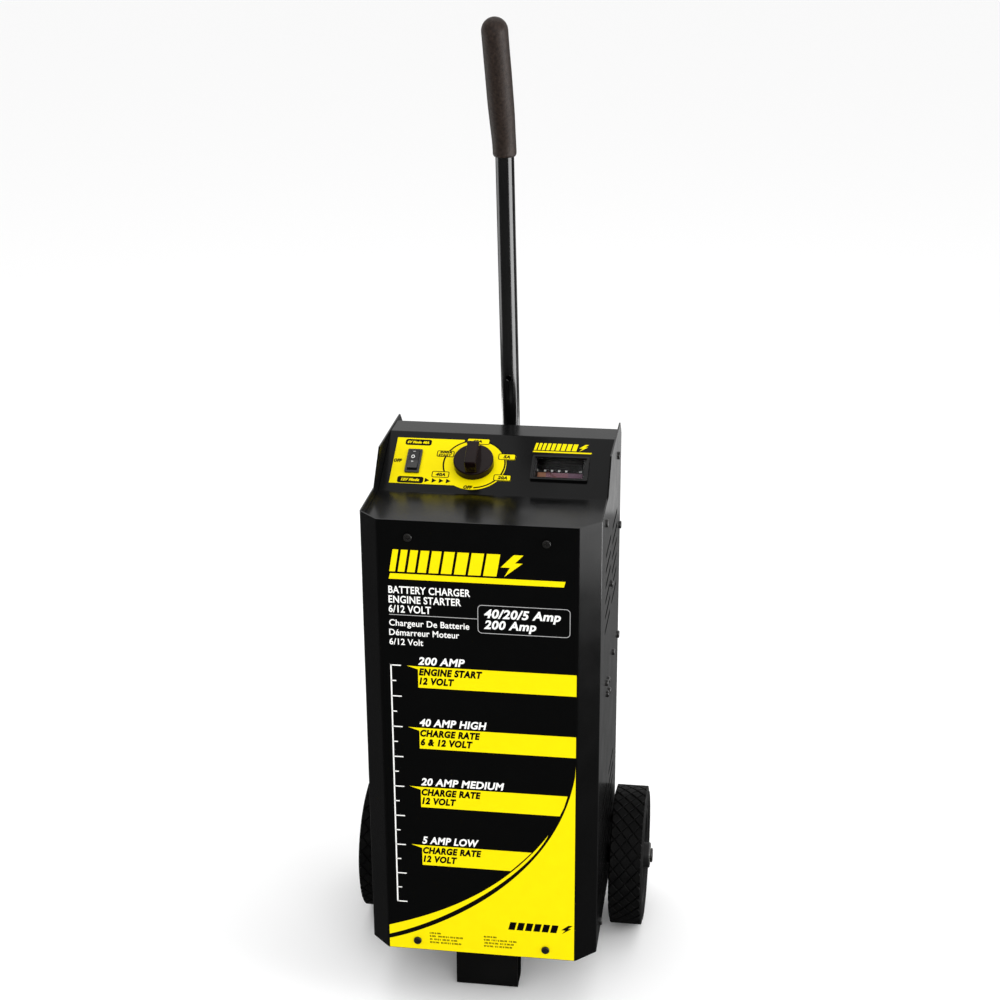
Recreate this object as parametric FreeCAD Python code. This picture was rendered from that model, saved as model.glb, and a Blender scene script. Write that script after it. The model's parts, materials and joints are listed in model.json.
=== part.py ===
"""Wheeled upright car battery charger, as an assembly of separate pieces.

Units are millimetres and +Z is up.  Every piece is first drawn in the cabinet's frame: X runs
from the left side to the right side with 0 in the middle, Y is the depth behind the front face,
and Z is the height above the ground.  save() then moves each piece to the part's own frame, whose
origin is the bottom centre of the whole charger's box.
"""
import FreeCAD, Part
import math
import os

os.makedirs("parts", exist_ok=True)

V = FreeCAD.Vector
X_AXIS = V(1, 0, 0)
Y_AXIS = V(0, 1, 0)
Z_AXIS = V(0, 0, 1)

# Driving dimensions ------------------------------------------------------------------------

# Cabinet
CABINET_HALF_WIDTH = 116.9
FRONT_HALF_WIDTH = 97.0
CHAMFER_DEPTH = 19.4
CABINET_DEPTH = 237.4
CABINET_BOTTOM = 65.2
FRONT_TOP = 541.8
WING_START = 84.8
WING_FRONT = 114.9
WING_TOP = 574.0
WING_CORNER = 16.0
SHEET = 1.5
BEND = 1.5
FIT_GAP = 0.3
OVERSHOOT = 5.0

# Cooling slots: two columns of rows, high and low on each side, and rows in the back panel
SLOT_HEIGHT = 4.4
SLOT_LENGTH = 57.0
SLOT_PITCH = 16.4
SLOT_COLUMNS = (94.0, 170.0)
SLOT_GROUP_TOPS = (487.0, 206.0)
SLOT_ROWS = 6
BACK_SLOT_ACROSS = 66.0
BACK_SLOT_LENGTH = 56.0
BACK_SLOT_TOP = 440.0
BACK_SLOT_ROWS = 10

# Control panel: shelf, inclined face, top strip
SHELF_HEIGHT = 533.0
FACE_START = 100.0
FACE_INCLINE = 30.0
FACE_LENGTH = 80.0
STRIP_DEPTH = 36.0
STRIP_FLANGE = 20.0
SHELF_FLANGE = 22.0
PANEL_TAB = 20.0

# Controls, measured on the inclined face: across from the middle, and up from its lower edge
SELECTOR_ACROSS = -23.3
SELECTOR_UP = 38.5
ROCKER_ACROSS = -85.1
ROCKER_UP = 39.5
METER_ACROSS = 63.8
METER_UP = 37.4
LABEL_SHEET = 0.3
SELECTOR_HOLE = 5.0
ROCKER_CUTOUT = (6.4, 14.1)
METER_CUTOUT = (25.2, 14.2)

# Wheels, axle and foot
WHEEL_RADIUS = 76.2
WHEEL_WIDTH = 36.7
WHEEL_OUTER_FACE = 156.1
AXLE_DEPTH = 196.0
AXLE_RADIUS = 6.35
AXLE_FIT = 0.05
AXLE_HOLE_RADIUS = AXLE_RADIUS + 0.6
RIM_RADIUS = 54.0
FOOT_HALF_WIDTH = 32.5
FOOT_FRONT = 36.1
FOOT_DEPTH = 28.0
FOOT_SHEET = 3.0

# Handle
TUBE_RADIUS = 9.525
TUBE_WALL = 1.5
TUBE_BEHIND_BACK = 13.0
TUBE_FIT = 0.08
TUBE_BOTTOM = 330.0
GRIP_BOTTOM = 842.0
GRIP_RADIUS = 13.0
GRIP_LEAN = 22.0
GRIP_BEND_RADIUS = 60.0
GRIP_STRAIGHT = 115.0
UPPER_GUIDE_BOTTOM = 505.0
LOWER_GUIDE_BOTTOM = 345.0
CLAMP_HEIGHT = 517.5
GUIDE_HEIGHT = 25.0
GUIDE_HALF_WIDTH = 21.0
GUIDE_HALF_DEPTH = 13.4
GUIDE_FLANGE = (23.0, 30.0, 3.5)
CLAMP_SCREW_RADIUS = 3.95
CLAMP_SCREW_END = 38.0
CLAMP_KNOB_START = 23.5
CLAMP_LOBES = 5
TUBE_HOLE_RADIUS = 3.0
TUBE_HOLE_HEIGHTS = (371.5, 611.5)
TUBE_END_GAP = 4.0
HANDLE_TILT = 1.1
TILT_PIVOT_HEIGHT = 470.0

# Fasteners
SCREW_RADIUS = 2.0
SCREW_CLEARANCE = 0.2
SCREW_HEAD_RADIUS = 4.1
SCREW_HEAD_HEIGHT = 2.2
SCREW_LENGTH = 8.0
HOLE_OVERRUN = 4.0
DRIVER_HALF_WIDTH = 0.5
DRIVER_DEPTH = 1.0
SMALL_HEAD_RADIUS = 3.4
POST_HOLE_RADIUS = 2.2

# Derived places ----------------------------------------------------------------------------

WHEEL_INNER_FACE = WHEEL_OUTER_FACE - WHEEL_WIDTH
TUBE_DEPTH = CABINET_DEPTH + TUBE_BEHIND_BACK
PANEL_HALF_WIDTH = CABINET_HALF_WIDTH - SHEET - FIT_GAP
PANEL_FRONT = SHEET + FIT_GAP
FOREMOST = -(LABEL_SHEET + SCREW_HEAD_HEIGHT)
REARMOST = AXLE_DEPTH + WHEEL_RADIUS
ORIGIN_SHIFT = V(0, -(FOREMOST + REARMOST) / 2, 0)

# Screw places: on the front face (across, height), and on the sides (depth, height)
FRONT_SCREWS = [(side * 66.4, height) for side in (-1, 1) for height in (76.1, 524.8)]
SIDE_SCREWS = [(198.0, 546.0), (63.0, 523.5), (230.0, 457.0), (230.0, 329.0), (230.0, 100.0), (61.0, 75.0)]
SINK_SCREWS = [(94.0 + 21.0 * along + 11.0 * down, 337.0 - 6.5 * along - 18.0 * down)
               for along in (0, 1) for down in (0, 1)]
BREAKER_RIVETS = [(134.0, 430.0), (172.0, 335.0)]


# Building blocks ---------------------------------------------------------------------------

def save(name, shape):
    """Move a piece to the part's frame and write it."""
    moved = shape.copy()
    moved.translate(ORIGIN_SHIFT)
    moved.exportStep("parts/" + name + ".step")


def box(low_x, high_x, low_y, high_y, low_z, high_z):
    return Part.makeBox(high_x - low_x, high_y - low_y, high_z - low_z, V(low_x, low_y, low_z))


def rod(radius, start, direction, length):
    return Part.makeCylinder(radius, length, start, direction)


def ring(outer, inner, start, direction, length):
    return rod(outer, start, direction, length).cut(rod(inner, start, direction, length))


def union(shapes):
    shapes = list(shapes)
    return shapes[0].multiFuse(shapes[1:]).removeSplitter() if len(shapes) > 1 else shapes[0]


def without(shape, tools):
    return shape.cut(Part.makeCompound(list(tools)))


def mirrored(shape):
    """The same piece on the other side of the cabinet."""
    return shape.mirror(V(0, 0, 0), X_AXIS)


def both_sides(shape):
    """The piece and its mirror image, as separate solids of one group."""
    return Part.makeCompound([shape, mirrored(shape)])


def in_yz(x):
    return lambda u, v: V(x, u, v)


def in_xy(z):
    return lambda u, v: V(u, v, z)


def turned(first, second):
    """The angle from one direction to the next, positive to the left."""
    cross = first[0] * second[1] - first[1] * second[0]
    dot = first[0] * second[0] + first[1] * second[1]
    return math.atan2(cross, dot)


def unit(start, end):
    length = math.hypot(end[0] - start[0], end[1] - start[1])
    return ((end[0] - start[0]) / length, (end[1] - start[1]) / length)


def offset_path(points, distance):
    """Shift an open path to its left, with mitred corners."""
    shifted = []
    for index, point in enumerate(points):
        before = unit(points[index - 1], point) if index > 0 else unit(point, points[1])
        after = unit(point, points[index + 1]) if index < len(points) - 1 else before
        reach = distance / math.cos(turned(before, after) / 2)
        normal = (-(before[1] + after[1]), before[0] + after[0])
        size = math.hypot(normal[0], normal[1])
        shifted.append((point[0] + normal[0] / size * reach, point[1] + normal[1] / size * reach))
    return shifted


def path_edges(points, radii, place):
    """Straight runs joined by tangent arcs; radii holds one value per inner point."""
    edges = []
    last = points[0]
    for index in range(1, len(points) - 1):
        before = unit(points[index - 1], points[index])
        after = unit(points[index], points[index + 1])
        angle = turned(before, after)
        radius = radii[index - 1]
        cut = radius * math.tan(abs(angle) / 2)
        arc_start = (points[index][0] - before[0] * cut, points[index][1] - before[1] * cut)
        arc_end = (points[index][0] + after[0] * cut, points[index][1] + after[1] * cut)
        inward = (after[0] - before[0], after[1] - before[1])
        size = math.hypot(inward[0], inward[1])
        lift = radius / math.cos(angle / 2) - radius
        arc_middle = (points[index][0] + inward[0] / size * lift, points[index][1] + inward[1] / size * lift)
        edges.append(Part.LineSegment(place(*last), place(*arc_start)).toShape())
        edges.append(Part.Arc(place(*arc_start), place(*arc_middle), place(*arc_end)).toShape())
        last = arc_end
    edges.append(Part.LineSegment(place(*last), place(*points[-1])).toShape())
    return edges


def bent_sheet(points, thickness, place, extrusion):
    """A sheet bent along a path: points lie on one face, the other face is to their left."""
    near_radii = []
    far_radii = []
    for index in range(1, len(points) - 1):
        to_left = turned(unit(points[index - 1], points[index]), unit(points[index], points[index + 1])) > 0
        near_radii.append(BEND + thickness if to_left else BEND)
        far_radii.append(BEND if to_left else BEND + thickness)
    far = offset_path(points, thickness)
    edges = path_edges(points, near_radii, place)
    edges.append(Part.LineSegment(place(*points[-1]), place(*far[-1])).toShape())
    edges += path_edges(far[::-1], far_radii[::-1], place)
    edges.append(Part.LineSegment(place(*far[0]), place(*points[0])).toShape())
    return Part.Face(Part.Wire(edges)).extrude(extrusion)


def plate(points, place, extrusion):
    corners = [place(*point) for point in points]
    return Part.Face(Part.makePolygon(corners + corners[:1])).extrude(extrusion)


def screw(place, inward, length=SCREW_LENGTH, radius=SCREW_RADIUS, head=SCREW_HEAD_RADIUS):
    """A pan-head screw whose head rests at place; its shank runs inward."""
    head_body = rod(head, place - inward * SCREW_HEAD_HEIGHT, inward, SCREW_HEAD_HEIGHT)
    rim = [edge for edge in head_body.Edges if edge.Closed and edge.CenterOfMass.sub(place).Length > 1]
    head_body = head_body.makeFillet(SCREW_HEAD_HEIGHT * 0.45, rim)
    reach = head * 0.6
    half = DRIVER_HALF_WIDTH
    driver = box(-reach, reach, -half, half, 0, DRIVER_DEPTH)
    driver = driver.fuse(box(-half, half, -reach, reach, 0, DRIVER_DEPTH))
    driver.Placement = FreeCAD.Placement(place - inward * SCREW_HEAD_HEIGHT, FreeCAD.Rotation(Z_AXIS, inward))
    return head_body.fuse(rod(radius, place, inward, length)).cut(driver)


def screw_hole(place, inward, radius=SCREW_RADIUS):
    length = SCREW_LENGTH + 2 * HOLE_OVERRUN
    return rod(radius + SCREW_CLEARANCE, place - inward * HOLE_OVERRUN, inward, length)


def hexagon(flats, start, direction, length, bore=0.0):
    """A hexagonal nut, or a bolt's head where bore is 0."""
    corner = flats / 2 / math.cos(math.pi / 6)
    points = [(corner * math.cos(k * math.pi / 3), corner * math.sin(k * math.pi / 3)) for k in range(6)]
    body = plate(points, in_xy(0), V(0, 0, length))
    if bore:
        body = body.cut(rod(bore, V(0, 0, 0), Z_AXIS, length))
    body.Placement = FreeCAD.Placement(start, FreeCAD.Rotation(Z_AXIS, direction))
    return body


def on_face(shape):
    """Carry a piece drawn on a level plane (up the face is +Y) onto the inclined face."""
    moved = shape.copy()
    turn = FreeCAD.Placement(V(0, FACE_START, SHELF_HEIGHT), FreeCAD.Rotation(X_AXIS, FACE_INCLINE))
    moved.Placement = turn.multiply(moved.Placement)
    return moved


def rounded_block(half_x, half_y, low_z, high_z, radius, centre=(0, 0)):
    """A block with rounded upright edges."""
    body = box(-half_x, half_x, -half_y, half_y, low_z, high_z)
    upright = [edge for edge in body.Edges if abs(edge.tangentAt(edge.FirstParameter).z) > 0.9]
    body = body.makeFillet(radius, upright)
    body.translate(V(centre[0], centre[1], 0))
    return body


# Cabinet -----------------------------------------------------------------------------------

def front_places():
    return [V(across, -LABEL_SHEET, height) for across, height in FRONT_SCREWS]


def side_places(points):
    return [V(CABINET_HALF_WIDTH, depth, height) for depth, height in points]


def side_holes():
    """Screw holes through both sides; the rectifier's and breaker's only go through the right one."""
    right = [screw_hole(place, -X_AXIS) for place in side_places(SIDE_SCREWS)]
    left = [mirrored(hole) for hole in right]
    extra = [screw_hole(place, -X_AXIS) for place in side_places(SINK_SCREWS + BREAKER_RIVETS)]
    return right + left + extra


def front_holes():
    return [screw_hole(place, Y_AXIS) for place in front_places()]


def side_slots():
    """Level cooling slots with round ends, cut through both sides."""
    radius = SLOT_HEIGHT / 2
    half = SLOT_LENGTH / 2 - radius
    reach = CABINET_HALF_WIDTH + OVERSHOOT
    slots = []
    for group_top in SLOT_GROUP_TOPS:
        for column in SLOT_COLUMNS:
            for row in range(SLOT_ROWS):
                middle = group_top - row * SLOT_PITCH
                body = box(-reach, reach, column - half, column + half, middle - radius, middle + radius)
                round_ends = [rod(radius, V(-reach, end, middle), X_AXIS, 2 * reach)
                              for end in (column - half, column + half)]
                slots.append(union([body] + round_ends))
    return slots


def shell_outline():
    """Plan of the wrap: from the back of one side, round the front, to the back of the other."""
    right = [(FRONT_HALF_WIDTH, 0), (CABINET_HALF_WIDTH, CHAMFER_DEPTH), (CABINET_HALF_WIDTH, CABINET_DEPTH)]
    left = [(-across, depth) for across, depth in right[::-1]]
    return left + right


def side_profile():
    """Outline of a side, with the wing that stands beside the control panel."""
    return [(-OVERSHOOT, CABINET_BOTTOM), (CABINET_DEPTH, CABINET_BOTTOM),
            (CABINET_DEPTH, WING_TOP - WING_CORNER), (CABINET_DEPTH - WING_CORNER, WING_TOP),
            (WING_FRONT, WING_TOP), (WING_START, FRONT_TOP), (-OVERSHOOT, FRONT_TOP)]


def cabinet_shell():
    height = WING_TOP - CABINET_BOTTOM
    wrap = bent_sheet(shell_outline(), SHEET, in_xy(CABINET_BOTTOM), V(0, 0, height))
    reach = CABINET_HALF_WIDTH + OVERSHOOT
    outline = plate(side_profile(), in_yz(-reach), V(2 * reach, 0, 0))
    axle_holes = rod(AXLE_HOLE_RADIUS, V(-reach, AXLE_DEPTH, WHEEL_RADIUS), X_AXIS, 2 * reach)
    return without(wrap.common(outline), side_slots() + side_holes() + front_holes() + [axle_holes])


def inside_prism():
    """The room inside the wrap, less the fitting gap."""
    inner = offset_path(shell_outline(), SHEET + FIT_GAP)
    return plate(inner, in_xy(0), V(0, 0, WING_TOP + OVERSHOOT))


def face_top():
    angle = math.radians(FACE_INCLINE)
    return (FACE_START + FACE_LENGTH * math.cos(angle), SHELF_HEIGHT + FACE_LENGTH * math.sin(angle))


def panel_profile():
    """Upper surface of the control panel, from its front flange to its rear flange."""
    top = face_top()
    strip_end = top[0] + STRIP_DEPTH
    return [(strip_end, top[1] - STRIP_FLANGE), (strip_end, top[1]), top, (FACE_START, SHELF_HEIGHT),
            (PANEL_FRONT, SHELF_HEIGHT), (PANEL_FRONT, SHELF_HEIGHT - SHELF_FLANGE)]


def control_panel():
    low_x = -PANEL_HALF_WIDTH
    sheet = bent_sheet(panel_profile(), SHEET, in_yz(low_x), V(2 * PANEL_HALF_WIDTH, 0, 0))
    sheet = sheet.common(inside_prism())
    top = face_top()
    shelf_tab = box(low_x, low_x + SHEET, CHAMFER_DEPTH + 15.6, FACE_START - 8,
                    SHELF_HEIGHT - PANEL_TAB, SHELF_HEIGHT - SHEET / 2)
    strip_tab = box(low_x, low_x + SHEET, top[0] + 8, top[0] + STRIP_DEPTH - 4,
                    top[1] - 1.85 * PANEL_TAB, top[1] - SHEET / 2)
    panel = union([sheet, shelf_tab, strip_tab, mirrored(shelf_tab), mirrored(strip_tab)])
    low = -OVERSHOOT
    high = OVERSHOOT
    cutouts = [on_face(rod(SELECTOR_HOLE, V(SELECTOR_ACROSS, SELECTOR_UP, low), Z_AXIS, high - low)),
               on_face(box_at(ROCKER_ACROSS, ROCKER_UP, *ROCKER_CUTOUT, low, high)),
               on_face(box_at(METER_ACROSS, METER_UP, *METER_CUTOUT, low, high))]
    return without(panel, cutouts + side_holes() + front_holes())


def box_at(across, up, half_x, half_y, low, high):
    return box(across - half_x, across + half_x, up - half_y, up + half_y, low, high)


BACK_TOP = 553.0
TRAY_WALL = 20.0
TRAY_REAR_HALF = 100.0
BACK_SCREWS = [(side * 88.0, 76.0) for side in (-1, 1)]
GUIDE_SCREWS = [(side * 16.0, base + rise) for base in (UPPER_GUIDE_BOTTOM, LOWER_GUIDE_BOTTOM)
                for side in (-1, 1) for rise in (-10.0, 35.0)]
BACK_SIDE_FLANGE = 16.0
MAINS_GLAND = (-62.0, 112.0)
MAINS_HOLE = 8.0
OUTPUT_GLAND = (62.0, 112.0)
OUTPUT_HOLE = 11.0


def back_holes():
    places = [V(across, CABINET_DEPTH, height) for across, height in BACK_SCREWS + GUIDE_SCREWS]
    return [screw_hole(place, -Y_AXIS) for place in places]


def back_panel():
    half = PANEL_HALF_WIDTH
    back = CABINET_DEPTH
    low = CABINET_BOTTOM + SHEET + FIT_GAP
    sheet = box(-half, half, back - SHEET, back, low, BACK_TOP)
    ledge = box(-half, half, face_top()[0] + STRIP_DEPTH + FIT_GAP, back, BACK_TOP - SHEET, BACK_TOP)
    side_flange = box(-half, -half + SHEET, back - BACK_SIDE_FLANGE, back, low + TRAY_WALL, BACK_TOP)
    panel = union([sheet, ledge, side_flange, mirrored(side_flange)])
    tools = side_holes() + back_holes()
    near = back - OVERSHOOT
    far = back + OVERSHOOT
    for (across, height), radius in ((MAINS_GLAND, MAINS_HOLE), (OUTPUT_GLAND, OUTPUT_HOLE)):
        tools.append(rod(radius, V(across, near, height), Y_AXIS, far - near))
    reach = BACK_SLOT_LENGTH / 2
    rise = SLOT_HEIGHT / 2
    for middle in (-BACK_SLOT_ACROSS, BACK_SLOT_ACROSS):
        for row in range(BACK_SLOT_ROWS):
            height = BACK_SLOT_TOP - row * SLOT_PITCH
            tools.append(box(middle - reach, middle + reach, near, far, height - rise, height + rise))
    return without(panel, tools)


def base_plate():
    """Tray that closes the bottom: its walls are screwed to the wrap and to the back panel."""
    low = CABINET_BOTTOM
    side_x = -PANEL_HALF_WIDTH
    rear_y = CABINET_DEPTH - SHEET - FIT_GAP
    floor = box(side_x, PANEL_HALF_WIDTH, PANEL_FRONT, rear_y, low, low + SHEET)
    floor = floor.common(inside_prism())
    front_edge = FRONT_HALF_WIDTH - 3
    side_top = low + TRAY_WALL - 1
    front = box(-front_edge, front_edge, PANEL_FRONT, PANEL_FRONT + SHEET, low, low + TRAY_WALL)
    side = box(side_x, side_x + SHEET, CHAMFER_DEPTH + 15.6, rear_y - 21.6, low, side_top)
    rear = box(-TRAY_REAR_HALF, TRAY_REAR_HALF, rear_y - SHEET, rear_y, low, side_top)
    tray = union([floor, front, side, mirrored(side), rear])
    reach = CABINET_HALF_WIDTH
    tools = [rod(AXLE_HOLE_RADIUS, V(-reach, AXLE_DEPTH, WHEEL_RADIUS), X_AXIS, 2 * reach)]
    tools += upright_holes(FOOT_BOLTS, FOOT_BOLT_HOLE)
    tools += upright_holes(CORE_BOLTS, CORE_BOLT_HOLE)
    return without(tray, tools + side_holes() + front_holes() + back_holes())


def upright_holes(places, radius):
    """Bolt holes through the tray's floor, and through the flanges above and below it."""
    reach = 10.0
    return [rod(radius, V(across, depth, CABINET_BOTTOM - reach), Z_AXIS, 2 * reach)
            for across, depth in places]


# Foot --------------------------------------------------------------------------------------

FOOT_BACK = FOOT_FRONT + FOOT_DEPTH
FOOT_FLANGE = 15.0
FOOT_BOLT_RADIUS = 3.0
FOOT_BOLT_HOLE = 3.2
FOOT_BOLT_FLATS = 10.0
FOOT_BOLT_HEAD = 4.0
FOOT_BOLT_LENGTH = 12.0
FOOT_NUT_HEIGHT = 5.0
THREAD_FIT = 0.05
FOOT_BOLTS = [(side * 20.0, depth) for side in (-1, 1)
              for depth in (FOOT_FRONT - FOOT_FLANGE / 2, FOOT_BACK + FOOT_FLANGE / 2)]


def front_foot():
    """A strap bent into a U under the front of the cabinet, with a flange at each end."""
    top = CABINET_BOTTOM
    front = FOOT_FRONT + FOOT_SHEET
    rear = FOOT_BACK - FOOT_SHEET
    path = [(FOOT_FRONT - FOOT_FLANGE, top), (front, top), (front, FOOT_SHEET),
            (rear, FOOT_SHEET), (rear, top), (FOOT_BACK + FOOT_FLANGE, top)]
    strap = bent_sheet(path[::-1], FOOT_SHEET, in_yz(-FOOT_HALF_WIDTH), V(2 * FOOT_HALF_WIDTH, 0, 0))
    return without(strap, upright_holes(FOOT_BOLTS, FOOT_BOLT_HOLE))


def foot_bolts():
    under = CABINET_BOTTOM - FOOT_SHEET
    bolts = []
    for across, depth in FOOT_BOLTS:
        head = hexagon(FOOT_BOLT_FLATS, V(across, depth, under - FOOT_BOLT_HEAD), Z_AXIS, FOOT_BOLT_HEAD)
        bolts.append(head.fuse(rod(FOOT_BOLT_RADIUS, V(across, depth, under), Z_AXIS, FOOT_BOLT_LENGTH)))
    return Part.makeCompound(bolts)


def foot_nuts():
    top = CABINET_BOTTOM + SHEET
    bore = FOOT_BOLT_RADIUS + THREAD_FIT
    return Part.makeCompound([hexagon(FOOT_BOLT_FLATS, V(across, depth, top), Z_AXIS, FOOT_NUT_HEIGHT, bore)
                              for across, depth in FOOT_BOLTS])


# Wheels and axle ---------------------------------------------------------------------------

HUB_INNER_FACE = 119.6
HUB_OUTER_FACE = 160.6
HUB_RADIUS = 14.0
BUSH_RADIUS = 8.5
CAP_OUTER_FACE = 163.4
CAP_RADIUS = 7.8
SPACER_RADIUS = 11.0
TYRE_SHOULDER = 5.5
TYRE_CORNER = 1.6
BARREL_WALL = 4.5
WEB_HALF = 2.0
RIB_COUNT = 8
RIB_HALF = 1.6
BRACKET_OUTER = 96.0
BRACKET_HALF_DEPTH = 16.0
WHEEL_MIDDLE = (WHEEL_INNER_FACE + WHEEL_OUTER_FACE) / 2


def axle_line(across):
    return V(across, AXLE_DEPTH, WHEEL_RADIUS)


def revolved(points):
    """Turn an outline of (across, radius) points about the axle."""
    corners = [V(across, AXLE_DEPTH, WHEEL_RADIUS + radius) for across, radius in points]
    face = Part.Face(Part.makePolygon(corners + corners[:1]))
    return face.revolve(axle_line(0), X_AXIS, 360)


def tyre():
    low = WHEEL_INNER_FACE
    high = WHEEL_OUTER_FACE
    half = [(high - 2, RIM_RADIUS), (high, RIM_RADIUS + 6), (high, WHEEL_RADIUS - TYRE_SHOULDER),
            (high - TYRE_CORNER, WHEEL_RADIUS - TYRE_CORNER), (high - TYRE_SHOULDER, WHEEL_RADIUS)]
    other_half = [(low + high - across, radius) for across, radius in half[::-1]]
    return revolved(half + other_half)


def rim():
    """Moulded wheel centre: barrel, web with ribs on both sides, and a long hub."""
    low = WHEEL_INNER_FACE + 2
    high = WHEEL_OUTER_FACE - 2
    barrel_inner = RIM_RADIUS - BARREL_WALL
    barrel = revolved([(low, barrel_inner), (high, barrel_inner), (high, RIM_RADIUS), (low, RIM_RADIUS)])
    web_low = WHEEL_MIDDLE - WEB_HALF
    web_high = WHEEL_MIDDLE + WEB_HALF
    web = revolved([(web_low, HUB_RADIUS - 2), (web_high, HUB_RADIUS - 2), (web_high, barrel_inner + 1),
                    (web_low, barrel_inner + 1)])
    hub = revolved([(HUB_INNER_FACE, BUSH_RADIUS), (HUB_OUTER_FACE, BUSH_RADIUS),
                    (HUB_OUTER_FACE, HUB_RADIUS - 1), (HUB_OUTER_FACE - 1, HUB_RADIUS),
                    (HUB_INNER_FACE, HUB_RADIUS)])
    ribs = []
    for index in range(RIB_COUNT):
        rib = box(low + 4, high - 4, -RIB_HALF, RIB_HALF, HUB_RADIUS - 1, barrel_inner + 1)
        rib.rotate(V(0, 0, 0), X_AXIS, index * 360 / RIB_COUNT)
        rib.translate(axle_line(0))
        ribs.append(rib)
    return union([barrel, web, hub] + ribs)


def hub_bush():
    return ring(BUSH_RADIUS, AXLE_RADIUS + AXLE_FIT, axle_line(HUB_INNER_FACE), X_AXIS,
                HUB_OUTER_FACE - HUB_INNER_FACE)


def axle():
    reach = CAP_OUTER_FACE - 0.8
    return rod(AXLE_RADIUS, axle_line(-reach), X_AXIS, 2 * reach)


def axle_cap():
    """Pressed cap that keeps the wheel on the axle."""
    start = HUB_OUTER_FACE + FIT_GAP
    cap = rod(CAP_RADIUS, axle_line(start), X_AXIS, CAP_OUTER_FACE - start)
    edge = [e for e in cap.Edges if e.Closed and e.CenterOfMass.x > CAP_OUTER_FACE - 0.1]
    cap = cap.makeFillet(1.2, edge)
    return cap.cut(axle())


def axle_spacer():
    start = CABINET_HALF_WIDTH
    return ring(SPACER_RADIUS, AXLE_RADIUS, axle_line(start), X_AXIS, HUB_INNER_FACE - FIT_GAP - start)


def axle_bracket():
    """Angle bracket on the base plate that carries the axle."""
    low = CABINET_BOTTOM + SHEET
    front = AXLE_DEPTH - BRACKET_HALF_DEPTH
    back = AXLE_DEPTH + BRACKET_HALF_DEPTH
    upright = box(BRACKET_OUTER - 3, BRACKET_OUTER, front, back, low, WHEEL_RADIUS + 15)
    flange = box(BRACKET_OUTER - 20, BRACKET_OUTER, front, front + 7, low, low + 2)
    return upright.fuse(flange).removeSplitter().cut(axle())


# Handle ------------------------------------------------------------------------------------

def tilted(shape):
    """Lean a piece to the left, as the tube stands in the bores of its guides."""
    leaned = shape.copy()
    leaned.rotate(V(0, TUBE_DEPTH, TILT_PIVOT_HEIGHT), Y_AXIS, -HANDLE_TILT)
    return leaned


def tube_across(height):
    """Where the leaning tube's centre line is, from the middle of the cabinet."""
    return (TILT_PIVOT_HEIGHT - height) * math.tan(math.radians(HANDLE_TILT))


def handle_line(start_height, end_length):
    """Centre line: straight up, then leaning forward over the cabinet."""
    lean = math.radians(GRIP_LEAN)
    bend_start = V(0, TUBE_DEPTH, GRIP_BOTTOM)
    radius = GRIP_BEND_RADIUS

    def on_bend(angle):
        return V(0, TUBE_DEPTH - radius * (1 - math.cos(angle)), GRIP_BOTTOM + radius * math.sin(angle))

    bend_end = on_bend(lean)
    end = bend_end + V(0, -math.sin(lean), math.cos(lean)) * end_length
    edges = [Part.Arc(bend_start, on_bend(lean / 2), bend_end).toShape(),
             Part.LineSegment(bend_end, end).toShape()]
    if start_height < GRIP_BOTTOM:
        edges.insert(0, Part.LineSegment(V(0, TUBE_DEPTH, start_height), bend_start).toShape())
    return Part.Wire(edges), end


def swept_round(radius, start_height, end_length):
    line, end = handle_line(start_height, end_length)
    start = V(0, TUBE_DEPTH, start_height)
    circle = Part.Wire(Part.Circle(start, Z_AXIS, radius).toShape())
    return line.makePipeShell([circle], True, False), end


def handle_tube():
    outer, end = swept_round(TUBE_RADIUS, TUBE_BOTTOM, GRIP_STRAIGHT - TUBE_END_GAP)
    inner, end = swept_round(TUBE_RADIUS - TUBE_WALL, TUBE_BOTTOM, GRIP_STRAIGHT - TUBE_END_GAP)
    reach = TUBE_RADIUS + OVERSHOOT
    holes = [rod(TUBE_HOLE_RADIUS, V(0, TUBE_DEPTH - reach, height), Y_AXIS, 2 * reach)
             for height in TUBE_HOLE_HEIGHTS]
    return tilted(without(outer.cut(inner), holes))


def handle_grip():
    """Soft sleeve over the bent end of the tube, closed by a dome."""
    sleeve, end = swept_round(GRIP_RADIUS, GRIP_BOTTOM, GRIP_STRAIGHT)
    dome = Part.makeSphere(GRIP_RADIUS, end)
    outer, tube_end = swept_round(TUBE_RADIUS, GRIP_BOTTOM, GRIP_STRAIGHT - TUBE_END_GAP)
    return tilted(union([sleeve, dome]).cut(outer))


def handle_guide(bottom, clamped):
    """Guide block on the back panel; the upper one carries the clamp screw."""
    back = CABINET_DEPTH
    corner = 3.0
    block = rounded_block(GUIDE_HALF_WIDTH, GUIDE_HALF_DEPTH, bottom, bottom + GUIDE_HEIGHT, corner,
                          (0, back + GUIDE_HALF_DEPTH))
    half_width, half_height, thick = GUIDE_FLANGE
    flange = rounded_block(half_width, half_height, -thick, 0, corner)
    flange.rotate(V(0, 0, 0), X_AXIS, 90)
    flange.translate(V(0, back, bottom + GUIDE_HEIGHT / 2))
    body = union([block, flange])
    bore_start = bottom - 2 * GUIDE_HEIGHT
    tools = [tilted(rod(TUBE_RADIUS + TUBE_FIT, V(0, TUBE_DEPTH, bore_start), Z_AXIS, 5 * GUIDE_HEIGHT))]
    for across, height in GUIDE_SCREWS:
        place = V(across, back - OVERSHOOT, height)
        tools.append(rod(SCREW_RADIUS + SCREW_CLEARANCE, place, Y_AXIS, thick + 2 * OVERSHOOT))
    if clamped:
        clamp_hole = CLAMP_SCREW_RADIUS + THREAD_FIT
        tools.append(rod(clamp_hole, V(0, TUBE_DEPTH, CLAMP_HEIGHT), X_AXIS, CLAMP_SCREW_END))
    return without(body, tools)


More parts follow.
